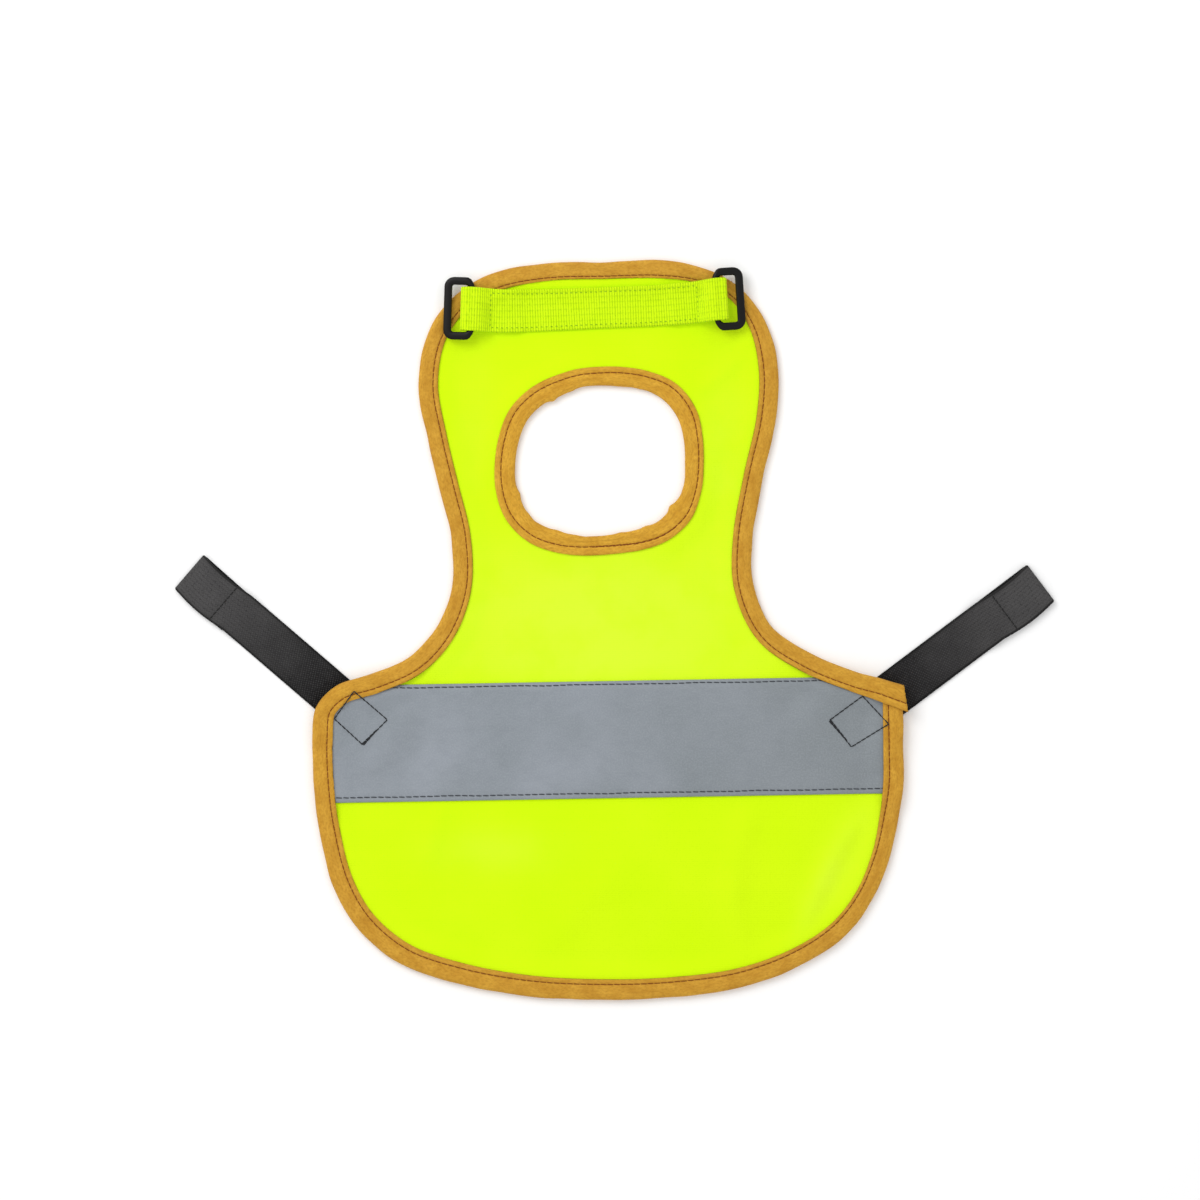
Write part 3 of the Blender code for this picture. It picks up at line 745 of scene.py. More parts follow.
def tape_profile(width, stitch, lower_width):
    """Columns of a binding's middle surface: reach from the folded edge, and level."""
    lower = np.linspace(lower_width, FOLD_X + 0.5, 5)
    angles = np.radians(np.linspace(-90.0, 90.0, 11))
    seam = stitch + np.array([-1.5, -0.95, -0.6, -0.3, 0.0, 0.3, 0.6, 0.95])
    body = np.linspace(FOLD_X + 0.5, stitch - 2.1, 6)
    edge = np.linspace(stitch + 0.95, width, 6)[1:]
    reach = np.concatenate([lower, FOLD_X - FOLD_R * np.cos(angles), body, seam, edge])
    level = np.concatenate([
        np.full(len(lower), TAPE_T / 2),
        TAPE_T / 2 + FOLD_R * (1.0 + np.sin(angles)),
        np.full(len(body) + len(seam) + len(edge), TAPE_T / 2 + 2 * FOLD_R),
    ])
    return reach, level


def tape_top(reach, width, stitch, at, seed):
    """Shape of the upper leg, added to its level. The groove is deepest between two stitches."""
    body = np.clip((reach - 1.0) / (stitch - 1.0), 0.0, 1.0)
    hem = np.clip((reach - stitch) / (width - stitch), 0.0, 1.0)
    bite = 0.75 + 0.25 * np.cos(2 * math.pi * at / STITCH_PITCH)
    shape = TAPE_BODY_FULL * np.sin(math.pi * body) + TAPE_HEM_FULL * np.sin(math.pi * hem)
    shape -= TAPE_GROOVE * bite * np.exp(-(((reach - stitch) / TAPE_GROOVE_HALF_WIDTH) ** 2))
    shape -= TAPE_EDGE_DIP * smoothstep((reach - width + TAPE_EDGE) / TAPE_EDGE)
    strength = PUCKER_DEPTH + PUCKER_CHANGE * uneven(at / PUCKER_CHANGE_LENGTH, seed)
    puckers = uneven((at + 0.7 * reach) / PUCKER_LENGTHS[0], seed)
    puckers = puckers + 0.6 * uneven((at - 0.4 * reach) / PUCKER_LENGTHS[1], seed + 1.0)
    window = np.sin(math.pi * np.clip(reach / width, 0.0, 1.0)) ** 0.5
    return shape + strength * puckers * window


def binding_grid(at, rows, into_cloth, stitch, seed, lap):
    """Middle points of a tape folded over an edge. Lap is how far the upper leg is raised along it.

    Where it is raised, the lower leg is trimmed to make room for the tape's other end.
    """
    grid = []
    for distance, row, side, from_fold, raised in zip(at, rows, into_cloth, stitch, lap):
        width = row[2]
        trimmed = smoothstep(2.0 * raised / TAPE_LAYER)
        lower_width = width + (FOLD_X + 1.1 - width) * trimmed
        reach, level = tape_profile(width, from_fold, lower_width)
        top = smoothstep((level - TAPE_T / 2) / (2 * FOLD_R))
        level = level + top * tape_top(reach, width, from_fold, distance, seed)
        plan = row[:2] + reach[:, None] * side
        level = level + top * (band_raise(plan) + raised) + strap_lift(plan)
        grid.append(np.column_stack([plan, level]))
    return np.array(grid)


def stitch_line(at, rows, into_cloth, stitch, seed, lap):
    """Points just above the groove that the stitches draw into a tape."""
    plan = rows[:, :2] + into_cloth * stitch[:, None]
    shape = tape_top(stitch, rows[:, 2], stitch, at, seed)
    level = TAPE_T / 2 + 2 * FOLD_R + shape + TAPE_CLOTH / 2
    return np.column_stack([plan, level + band_raise(plan) + strap_lift(plan) + lap])


def add_outer_binding(material, thread):
    """The tape round the whole edge, with one end lapped over the other and cut off at a slant."""
    at, rows, tangent, into_cloth = resample(TAPE_CURVE, TAPE_STEP)
    to_end = at - at[-1]
    edge_wave = TAPE_EDGE_WAVE * uneven(at / TAPE_EDGE_WAVE_LENGTH, 2.0)
    rows[:, :2] += into_cloth * edge_wave[:, None]
    rows[:, 2] -= edge_wave
    lap = TAPE_LAYER * smoothstep((to_end + LAP_LENGTH) / LAP_RAMP)
    stitch = rows[:, 2] - rows[:, 3]
    grid = binding_grid(at, rows, into_cloth, stitch, 1.0, lap)
    near_cut = smoothstep((to_end + CUT_REACH) / CUT_REACH)
    reach = np.linalg.norm(grid[:, :, :2] - rows[:, None, :2], axis=2)
    skew = near_cut[:, None] * CUT_SKEW * reach
    grid[:, :, :2] += skew[:, :, None] * tangent[:, None]
    fray = CUT_FRAY * uneven(reach[-1] * 2.7, 6.0)
    grid[-1, :, :2] += fray[:, None] * tangent[-1]
    grid[-2, :, :2] += 0.5 * fray[:, None] * tangent[-2]
    line = stitch_line(at, rows, into_cloth, stitch, 1.0, lap)
    line[:, :2] += (near_cut * CUT_SKEW * stitch)[:, None] * tangent
    sewn = add_thread("outer_binding_stitches", [line[at >= TAPE_SEAM_START]], thread)
    across = np.linspace(0.0, 19.5, grid.shape[1])
    return shell("outer_binding_cloth", grid, TAPE_CLOTH, at, across, material), sewn


def add_neck_binding(material, thread):
    """The tape round the neck hole, closed into a loop, with puckers and a part that is sewn twice."""
    at, rows, _, into_cloth = resample(NECK_CURVE, NECK_STEP)
    outward = unit(rows[:, :2] - (NECK_X, NECK_Y))
    bearing = np.degrees(np.arctan2(outward[:, 1], outward[:, 0])) % 360.0
    stitch = rows[:, 2] - np.interp(bearing, *np.array(NECK_STITCHES).T)
    for degrees, depth, half_width in NECK_NOTCHES:
        turn = (bearing - degrees + 180.0) % 360.0 - 180.0
        notch = depth * np.exp(-((turn / half_width) ** 2))
        rows[:, :2] -= outward * notch[:, None]
        rows[:, 2] += notch
        stitch = stitch + notch
    columns = (at, rows, into_cloth, stitch, bearing)
    at, rows, into_cloth, stitch, bearing = (column[:-1] for column in columns)
    no_lap = np.zeros(len(at))
    grid = binding_grid(at, rows, into_cloth, stitch, 4.0, no_lap)
    line = stitch_line(at, rows, into_cloth, stitch, 4.0, no_lap)
    again = line[(bearing > NECK_SEAM_END[0]) & (bearing < NECK_SEAM_END[1])]
    again = again + np.append(NECK_SEAM_AGAIN * unit(again[0, :2] - (NECK_X, NECK_Y)), 0.0)
    sewn = add_thread("neck_binding_stitches", [close_loop(line), again], thread)
    across = np.linspace(0.0, 20.0, grid.shape[1])
    along = np.append(at, 2 * at[-1] - at[-2])
    return shell("neck_binding_cloth", grid, TAPE_CLOTH, along, across, material, closed_rows=True), sewn


def staggered_points(low, high, spacing):
    """Plan points in even triangles over a rectangle."""
    rows = []
    for row, y in enumerate(np.arange(low[1], high[1], spacing * math.sqrt(0.75))):
        x = np.arange(low[0] + spacing / 2 * (row % 2), high[0], spacing)
        rows.append(np.column_stack([x, np.full(len(x), y)]))
    return np.vstack(rows)


def add_panel(material):
    """The panel: even triangles between its two edges, at the level of the cloth under it."""
    loops = []
    for curve in (OUTER_CURVE, NECK_CURVE):
        _, rows, _, into_cloth = resample(curve, PANEL_SPACING)
        loops.append((rows[:, :2] + into_cloth * PANEL_INSET)[:-1])
    outer, neck = loops
    free = staggered_points(outer.min(axis=0), outer.max(axis=0), PANEL_SPACING)
    free = free[inside(outer, free) & ~inside(neck, free)]
    edges = []
    start = 0
    for loop in loops:
        distance, _ = nearest(close_loop(loop), free)
        free = free[distance > 0.6 * PANEL_SPACING]
        count = len(loop)
        edges += [(start + k, start + (k + 1) % count) for k in range(count)]
        start += count
    scatter = np.vstack([outer, neck, free])
    plan, _, faces, _, _, _ = delaunay_2d_cdt([tuple(p) for p in scatter], edges, [], 0, 1e-4, False)
    plan, faces = (np.array([tuple(row) for row in rows]) for rows in (plan, faces))
    middle = plan[faces].mean(axis=1)
    faces = faces[inside(outer, middle) & ~inside(neck, middle)]
    used, faces = np.unique(faces, return_inverse=True)
    faces = faces.reshape(-1, 3)
    plan = plan[used]
    points = np.column_stack([plan, cloth_level(plan)])
    panel = new_piece("body_panel_cloth", points, faces.tolist(), plan[faces.ravel()], material)
    # Painted highlight along the creases, kept on the points for the cloth's colour
    highlight = panel.data.attributes.new("crease_highlight", "FLOAT", "POINT")
    highlight.data.foreach_set("value", crease_highlight(plan).astype(np.float32))
    wall = panel.modifiers.new("wall", "SOLIDIFY")
    wall.thickness = PANEL_CLOTH * MM
    wall.offset = 0.0
    return panel


def band_line(offset, places):
    """Plan points along the band, at an offset from its middle line."""
    along = np.array([math.cos(BAND_TILT), math.sin(BAND_TILT)])
    across = np.multiply.outer(offset, left_of(along))
    return np.array([BAND_X, BAND_Y]) + across + places[:, None] * along


def band_ends(offset, inset):
    """Where a line along the band, at an offset from its middle line, meets the panel's edge."""
    places = np.arange(-140.0, 140.0, 0.25)
    line = band_line(offset, places)
    distance, _ = nearest(OUTER_CURVE, line)
    covered = places[inside(OUTER_CURVE, line) & (distance > inset)]
    return covered[0], covered[-1]


def add_band(material, thread):
    """The reflective band from one edge of the panel to the other, with a seam along each side."""
    columns = np.linspace(-BAND_WIDTH / 2, BAND_WIDTH / 2, 43)
    shares = np.linspace(0.0, 1.0, 190)
    grid = []
    for offset in columns:
        low, high = band_ends(offset, PANEL_INSET)
        plan = band_line(offset, low + (high - low) * shares)
        grid.append(np.column_stack([plan, band_level(plan)]))
    grid = np.array(grid).transpose(1, 0, 2)
    band = shell("reflective_band_cloth", grid, BAND_CLOTH, shares * BAND_LENGTH, columns, material)
    lines = []
    for inset, sign in ((BAND_STITCH_TOP, 1.0), (BAND_STITCH_BOTTOM, -1.0)):
        offset = sign * (BAND_WIDTH / 2 - inset)
        places = np.arange(*band_ends(offset, BAND_STITCH_END), LINE_STEP)
        wander = BAND_STITCH_WANDER * uneven(places / BAND_STITCH_WANDER_LENGTH, sign)
        plan = band_line(offset + wander, places)
        lines.append(np.column_stack([plan, band_level(plan) + BAND_CLOTH / 2]))
    sewn = add_thread("reflective_band_stitches", lines, thread, pitch=BAND_STITCH_PITCH, filled=0.94)
    return band, sewn


def seen_level(points):
    """Height of the upper side of the band, or of the outer tape where that lies over it."""
    distance, index = nearest(OUTER_CURVE, points)
    past_tape = distance - OUTER_CURVE[index, 2]
    band = band_level(points) + BAND_CLOTH / 2
    tape = TAPE_T / 2 + 2 * FOLD_R + band_raise(points) + strap_lift(points) + TAPE_CLOTH / 2
    return band + (tape + BOX_OVER_TAPE - band) * falling(past_tape, BOX_TAPE_RAMP)


def line_on_band(corners):
    """Points of a straight line of stitches on the band between two plan points."""
    start, end = (np.array(corner) for corner in corners)
    share = np.linspace(0.0, 1.0, max(2, round(math.dist(start, end) / LINE_STEP)))[:, None]
    plan = start + share * (end - start)
    return np.column_stack([plan, seen_level(plan)])


def add_box_stitches(thread):
    """The sewn boxes that hold the straps. One side of each was sewn twice over."""
    lines = []
    for corners, (first, second, part) in BOXES:
        ring = corners + corners[:1]
        lines += [line_on_band(pair) for pair in zip(ring, ring[1:])]
        start = np.array(corners[first])
        end = start + part * (np.array(corners[second]) - start)
        aside = unit(left_of(end - start)) * BOX_AGAIN_ASIDE
        lines.append(line_on_band((start + aside, end + 0.5 * aside)))
        lines.append(line_on_band((start - aside, end + 0.3 * aside)))
    return add_thread("strap_box_stitches", lines, thread, pitch=2.4, radius=0.26, filled=1.04)


def hem_shift(from_tip):
    """How far the upper layer of a strap's hem lies over towards the strap's lower side."""
    return HEM_SHIFT * np.sin(math.pi * np.clip(from_tip / HEM_LENGTH, 0.0, 1.0))


def add_elastic(strap, material, thread):
    """Elastic strap: its free end is folded back underneath as a hem and sewn across."""
    name, width, drift = strap[0], strap[5], strap[6]
    sewn_end, along, across, length = strap_frame(strap)
    near_side = -across if across[1] > 0 else across
    low = ELASTIC_T / 2
    turn_r = STRAP_LAYER / 2
    turn_at = low + turn_r
    hem_end = HEM_LENGTH + HEM_CLEAR
    straight = turn_at + 0.7
    under = np.linspace(HEM_LENGTH, straight, 26)
    angles = np.radians(np.linspace(-90.0, 90.0, 9))
    over = np.arange(straight, length, 1.0)
    from_tip = np.concatenate([under, turn_at - turn_r * np.cos(angles), over])
    turn = low + turn_r * (1.0 + np.sin(angles))
    upper = low + STRAP_LAYER * falling(over, (hem_end, hem_end + HEM_SLOPE))
    on_top = np.arange(len(from_tip)) >= len(under) + len(angles)
    seam = np.exp(-(((from_tip - HEM_STITCH) / HEM_GROOVE_HALF_WIDTH) ** 2))
    level = np.concatenate([np.full(len(under), low), turn, upper]) - on_top * HEM_GROOVE * seam
    level += STRAP_WAVE_HEIGHT * (1.0 + uneven(from_tip / STRAP_WAVE_LENGTH, width)) * on_top
    aside = hem_shift(from_tip)
    aside[: len(under)] = drift * np.sin(math.pi / 2 * under / HEM_LENGTH)
    middle = sewn_end + along * (length - from_tip)[:, None] + near_side * aside[:, None]
    shares = np.linspace(-0.5, 0.5, 13)
    plan = middle[:, None] + across * (shares * width)[:, None]
    grid = np.dstack([plan, np.broadcast_to(level[:, None], plan.shape[:2])])
    past_end = arc_lengths(grid[:, len(shares) // 2])
    piece = shell(name + "_cloth", grid, ELASTIC_CLOTH, past_end, shares * width, material)
    reach = np.linspace(-HEM_STITCH_REACH, HEM_STITCH_REACH, 30)[:, None] * width
    plan = sewn_end + along * (length - HEM_STITCH) + near_side * hem_shift(HEM_STITCH) + across * reach
    top = low + STRAP_LAYER - HEM_GROOVE + ELASTIC_CLOTH / 2 + HEM_STITCH_LIFT
    line = np.column_stack([plan, np.full(len(plan), top)])
    return piece, add_thread(name + "_stitches", [line], thread, pitch=2.2, filled=0.94)


def webbing_place(distance):
    """Middle point and direction of the webbing at a distance from its left bar."""
    lengths = arc_lengths(WEBBING_CURVE)
    at = min(max(distance, 0.0), lengths[-1])
    point, along = (
        np.array([np.interp(at, lengths, column) for column in rows.T])
        for rows in (WEBBING_CURVE, directions(WEBBING_CURVE))
    )
    along = unit(along)
    return point + along * (distance - at), along


def garment_top(points):
    """Height of the panel's upper side, or of the tape where that lies on it."""
    distance, index = nearest(OUTER_CURVE, points)
    distance = np.where(inside(OUTER_CURVE, points), distance, 0.0)
    beside_tape = distance - OUTER_CURVE[index, 2]
    over_tape = falling(beside_tape, (TAPE_RAMP_MARGIN, TAPE_RAMP_MARGIN + TAPE_RAMP))
    rise = np.maximum(TAPE_LAYER * (1.0 - flatness(points, WEBBING_SPREAD)), TAPE_LAYER * over_tape)
    return PANEL_T + rise + TAPE_LAYER * over_tape


def webbing_row(distance, from_bar, layer, loop_level, shares):
    """Middle points across the webbing: layer 0 lies on the garment, layer 1 on the folded-under end."""
    middle, along = webbing_place(distance)
    at, upper, lower = np.array(WEBBING_EDGES).T
    upper = np.interp(distance, at, upper)
    lower = np.interp(distance, at, lower)
    offset = lower + (shares + 0.5) * (upper - lower)
    plan = middle + left_of(along) * offset[:, None]
    if loop_level is not None:
        return np.column_stack([plan, np.full(len(plan), loop_level)])
    near_bar = BINDING_TOP * falling(from_bar, LOW_LAYER_SLOPE)
    level = np.maximum(garment_top(plan), near_bar) + GAP + WEBBING_T / 2
    level += WEBBING_LAYER * layer
    if layer > 0:
        level += (BAR_LEVEL + LOOP_R - level) * falling(from_bar, TOP_LAYER_SLOPE)
    return np.column_stack([plan, level])


def webbing_stops():
    """One end as (distance from its bar towards the middle, layer, level in the loop or None)."""
    stops = [(d, 0.0, None) for d in np.linspace(WEBBING_HEM, 0.0, 50)]
    for degrees in range(-84, 85, 7):
        angle = math.radians(degrees)
        reach = LOOP_SLACK + LOOP_R * math.cos(angle)
        stops.append((-reach, 0.0, BAR_LEVEL + LOOP_R * math.sin(angle)))
    stops += [(d, 1.0, None) for d in np.linspace(0.0, WEBBING_HEM + HEM_END_SLOPE[0], 52)]
    for past_hem in np.linspace(*HEM_END_SLOPE, 22)[1:]:
        stops.append((WEBBING_HEM + past_hem, float(falling(past_hem, HEM_END_SLOPE)), None))
    return stops


def add_webbing(material, thread):
    """The ribbed webbing: up from under its own end, round one bar, across, and round the other."""
    shares = np.linspace(-0.5, 0.5, 43)
    ends = webbing_stops()
    clear = WEBBING_HEM + HEM_END_SLOPE[1]
    rows = [webbing_row(d, d, layer, level, shares) for d, layer, level in ends]
    middle = np.linspace(clear, WEBBING_LENGTH - clear, 180)[1:-1]
    rows += [webbing_row(d, clear, 0.0, None, shares) for d in middle]
    for d, layer, level in reversed(ends):
        rows.append(webbing_row(WEBBING_LENGTH - d, d, layer, level, shares))
    grid = np.array(rows)
    along = arc_lengths(grid[:, len(shares) // 2])
    outward = unit(np.cross(np.gradient(grid, axis=1), np.gradient(grid, axis=0)))
    furrows = np.cos(2 * math.pi * RIB_ROWS * (shares + 0.5)) * ROW_HEIGHT
    weave = furrows + (np.cos(2 * math.pi * along / RIB_PITCH) * RIB_HEIGHT)[:, None]
    weave[:, [0, -1]] = 0.0
    grid += outward * weave[:, :, None]
    across = shares * WEBBING_FLAT_WIDTH
    piece = shell("webbing_strap_cloth", grid, WEBBING_CLOTH, along, across, material)
    cross_lines = (WEBBING_STITCH_ACROSS, WEBBING_LENGTH - WEBBING_STITCH_ACROSS)
    share = 0.5 - WEBBING_STITCH_INSET / WEBBING_FLAT_WIDTH
    places = np.arange(*cross_lines, WEBBING_STITCH_STEP)
    lines = [[webbing_top(d, side) for d in places] for side in (share, -share)]
    sides = np.linspace(-WEBBING_STITCH_REACH, WEBBING_STITCH_REACH, 20)
    lines += [[webbing_top(distance, side) for side in sides] for distance in cross_lines]
    sewn = add_thread("webbing_strap_stitches", lines, thread, pitch=2.1, radius=0.19, filled=0.5)
    return piece, sewn


def webbing_top(distance, share):
    """A point on the webbing's upper side."""
    from_bar = min(distance, WEBBING_LENGTH - distance)
    layer = float(falling(from_bar - WEBBING_HEM, HEM_END_SLOPE))
    row = webbing_row(distance, from_bar, layer, None, np.array([share]))
    return row[0] + (0.0, 0.0, WEBBING_CLOTH / 2)


def ring_path():
    """Middle line of a ring as (out from the bar, along the bar), with round outer corners."""
    chamfer = RING_HALF - RING_BAR_HALF
    points = [(0.0, v) for v in np.linspace(0.0, RING_BAR_HALF - 0.8, 8)]
    points += [(0.12, RING_BAR_HALF - 0.3), (0.45, RING_BAR_HALF + 0.35)]
    points += [(chamfer - 0.5, RING_HALF - 0.45), (chamfer + 0.2, RING_HALF - 0.08)]
    points += [(u, RING_HALF) for u in np.linspace(chamfer + 1.0, RING_REACH - RING_CORNER, 7)]
    for degrees in range(75, -1, -15):
        angle = math.radians(degrees)
        out = RING_REACH - RING_CORNER + RING_CORNER * math.cos(angle)
        points.append((out, RING_HALF - RING_CORNER + RING_CORNER * math.sin(angle)))
    points += [(RING_REACH, v) for v in np.linspace(RING_HALF - RING_CORNER, 0.0, 8)[1:]]
    mirrored = [(u, -v) for u, v in reversed(points[1:-1])]
    return np.array(points + mirrored)


def add_ring(name, distance, turned, material):
    """A moulded ring whose bar lies in the webbing's loop."""
    path = ring_path()
    before = unit(path - np.roll(path, 1, axis=0))
    after = unit(np.roll(path, -1, axis=0) - path)
    mitre = before + after
    side = np.stack([mitre[:, 1], -mitre[:, 0]], axis=1)
    side /= (1.0 + (before * after).sum(axis=1))[:, None]
    share = np.minimum(1.0, path[:, 0] / (RING_HALF - RING_BAR_HALF))[:, None]
    half_width = RING_BAR_R + (RING_FRAME_HALF_WIDTH - RING_BAR_R) * share
    power = 2.0 / (2.0 + RING_SQUARENESS * share)
    angles = np.arange(24) * 2 * math.pi / 24
    wide, high = (np.sign(wave) * np.abs(wave) ** power for wave in (np.cos(angles), np.sin(angles)))
    out = path[:, None] + side[:, None] * (wide * half_width)[:, :, None]
    u, w = rotated(out[:, :, 0], high * RING_BAR_R, -RING_TILT)
    middle, along = webbing_place(distance)
    x, y = rotated(u, out[:, :, 1], math.atan2(along[1], along[0]) + turned)
    points = np.stack([middle[0] + x, middle[1] + y, BAR_LEVEL + w], axis=2).reshape(-1, 3)
    faces, corner_rows, corner_columns = grid_faces(len(path), len(angles), True, True)
    uv = np.stack([corner_rows * 1.0, corner_columns * 1.0], axis=2)
    faces, uv = facing_out(points, faces, uv)
    return new_piece(name, points, faces.tolist(), uv, material)


def srgb(*levels):
    """Linear colour of an 8-bit one."""
    linear = []
    for level in levels:
        share = level / 255.0
        linear.append(share / 12.92 if share <= 0.04045 else ((share + 0.055) / 1.055) ** 2.4)
    return linear


# How bright a white surface that faces the camera comes out in this light
LIGHT_LEVEL = 1.035


def seen_as(*levels):
    """Surface colour that shows as this 8-bit colour in the scene's light."""
    return [min(c / LIGHT_LEVEL, 0.98) for c in srgb(*levels)] + [1.0]


class Paint:
    """A material under construction, with the cloth's flat coordinates in millimetres."""

    def __init__(self, name, roughness, sheen=0.0, gloss=0.12):
        self.material = bpy.data.materials.new(name)
        self.material.use_nodes = True
        self.tree = self.material.node_tree
        self.shader = self.tree.nodes["Principled BSDF"]
        self.set("Roughness", roughness)
        self.set("Sheen Weight", sheen)
        self.set("Specular IOR Level", gloss)
        self.flat = self.node("UVMap", {}, uv_map="cloth").outputs["UV"]
        self.bumped = None

    def node(self, kind, inputs, **settings):
        """A shader node with these settings, and with these values or links at its inputs."""
        node = self.tree.nodes.new("ShaderNode" + kind)
        for name, value in settings.items():
            setattr(node, name, value)
        for name, value in inputs.items():
            self.feed(node.inputs[name], value)
        return node

    def feed(self, socket, value):
        if isinstance(value, bpy.types.NodeSocket):
            self.tree.links.new(value, socket)
        else:
            socket.default_value = value

    def set(self, name, value):
        """One input of the shader, as a value or a link."""
        self.feed(self.shader.inputs[name], value)

    def place(self):
        """The flat coordinates as two values: along the cloth and across it."""
        return self.node("SeparateXYZ", {0: self.flat}).outputs[:2]

    def noise(self, size, detail=2.0, stretch=(1.0, 1.0)):
        """Noise whose blobs are about this many millimetres across."""
        scale = (1.0 / (size * stretch[0]), 1.0 / (size * stretch[1]), 1.0)
        scaled = self.node("Mapping", {"Vector": self.flat, "Scale": scale}).outputs[0]
        inputs = {"Vector": scaled, "Scale": 1.0, "Detail": detail}
        return self.node("TexNoise", inputs).outputs["Fac"]

    def bands(self, direction, pitch, distortion=0.0, turn=0.0):
        """Even ribs with this many millimetres from one to the next."""
        turned = self.node("Mapping", {"Vector": self.flat, "Rotation": (0.0, 0.0, turn)}).outputs[0]
        inputs = {"Vector": turned, "Scale": 2 * math.pi / 20.0 / pitch, "Distortion": distortion}
        inputs.update({"Detail": 1.0, "Detail Scale": 2.0})
        return self.node("TexWave", inputs, bands_direction=direction).outputs["Fac"]

    def math(self, operation, a, b):
        return self.node("Math", {0: a, 1: b}, operation=operation).outputs[0]

    def times(self, a, b):
        return self.math("MULTIPLY", a, b)

    def spread(self, value, low, high):
        """The part of a value between low and high, stretched to run from 0 to 1."""
        inputs = {"Value": value, "From Min": low, "From Max": high}
        return self.node("MapRange", inputs).outputs["Result"]

    def mix(self, share, a, b):
        return self.node("Mix", {0: share, 6: a, 7: b}, data_type="RGBA").outputs[2]

    def over(self, shade, share, strength, *levels):
        """The shade with this 8-bit colour laid over it, as strongly as the share says."""
        return self.mix(self.times(share, strength), shade, seen_as(*levels))

    def bump(self, height, depth):
        """Raises the surface by this many millimetres where the height is one."""
        inputs = {"Strength": 1.0, "Distance": depth * MM, "Height": height}
        if self.bumped is not None:
            inputs["Normal"] = self.bumped
        self.bumped = self.node("Bump", inputs).outputs["Normal"]
        self.set("Normal", self.bumped)


def panel_cloth():
    """Fluorescent yellow polyester: a fine close knit with faint cloudy tone, painted highlights along its
    creases and a faint painted glow.
    """
    paint = Paint("hi_vis_cloth", 0.8, 0.02, 0.08)
    clouds = paint.spread(paint.noise(42.0, 3.0), 0.35, 0.68)
    shade = paint.mix(clouds, seen_as(199, 238, 0), seen_as(204, 238, 8))
    # Painted highlight: paler, less saturated yellow in patches along the creases
    highlight = paint.node("Attribute", {}, attribute_name="crease_highlight").outputs["Fac"]
    patchy_highlight = paint.times(highlight, paint.spread(paint.noise(22.0, 4.0), 0.0, 0.55))
    shade = paint.mix(patchy_highlight, shade, seen_as(212, 240, 58))
    knit = paint.times(paint.bands("X", 0.62, 0.4), paint.bands("Y", 0.8, 0.4))
    paint.set("Base Color", paint.over(shade, knit, 0.12, 180, 220, 2))
    paint.bump(knit, 0.07)
    paint.bump(paint.noise(3.2, 3.0), 0.09)
    # Painted glow: the cloth gives off a little yellow light of its own, though it is no lamp
    paint.set("Emission Color", (0.64, 1.0, 0.01, 1.0))
    paint.set("Emission Strength", 0.12)
    return paint.material


def band_cloth():
    """Grey retroreflective tape: tiny glass beads over silver, a little worn and uneven, with painted shade
    darkening it towards its right end.
    """
    paint = Paint("reflective_tape", 0.55, 0.0, 0.3)
    clouds = paint.spread(paint.noise(34.0, 4.0), 0.3, 0.7)
    shade = paint.mix(clouds, seen_as(132, 139, 145), seen_as(146, 152, 160))
    # Painted shade: the band darkens towards its right end, away from the light
    shade = paint.over(shade, paint.spread(paint.place()[0], 105.0, 230.0), 0.6, 124, 130, 132)
    beads = paint.noise(0.7, 2.0)
    shade = paint.over(shade, paint.spread(beads, 0.4, 0.75), 0.2, 180, 186, 192)
    wear = paint.spread(paint.noise(3.5, 5.0, stretch=(1.8, 1.0)), 0.45, 0.8)
    paint.set("Base Color", paint.over(shade, wear, 0.16, 112, 118, 126))
    paint.set("Metallic", 0.2)
    paint.bump(beads, 0.05)
    paint.bump(paint.noise(6.0, 3.0), 0.12)
    return paint.material


def tape_cloth(name, painted_light_steps):
    """Mustard bias tape: a fine plain weave on the slant with a painted highlight on its threads, paler and
    darker patches, and painted light that brightens the whole tape by some 8-bit steps.
    """
    paint = Paint(name, 0.66, 0.03)
    clouds = paint.spread(paint.noise(4.5, 5.0, stretch=(1.7, 1.0)), 0.3, 0.72)
    # Painted light: the whole tape is brightened by this many 8-bit steps
    dark, light = seen_as(190 + painted_light_steps, 135 + painted_light_steps, 37), seen_as(217 + painted_light_steps, 165 + painted_light_steps, 57)
    flecks = paint.spread(paint.noise(0.9, 4.0, stretch=(1.6, 1.0)), 0.42, 0.7)
    shade = paint.over(paint.mix(clouds, dark, light), flecks, 0.6, 166, 113, 28)
    slant = math.radians(45.0)
    weave = paint.times(paint.bands("X", 0.5, 0.5, slant), paint.bands("Y", 0.5, 0.5, slant))
    # Painted highlight on the raised threads of the weave
    paint.set("Base Color", paint.over(shade, weave, 0.22, 240, 194, 92))
    paint.bump(weave, 0.07)
    paint.bump(paint.noise(1.5, 3.0, stretch=(1.0, 2.5)), 0.16)
    return paint.material


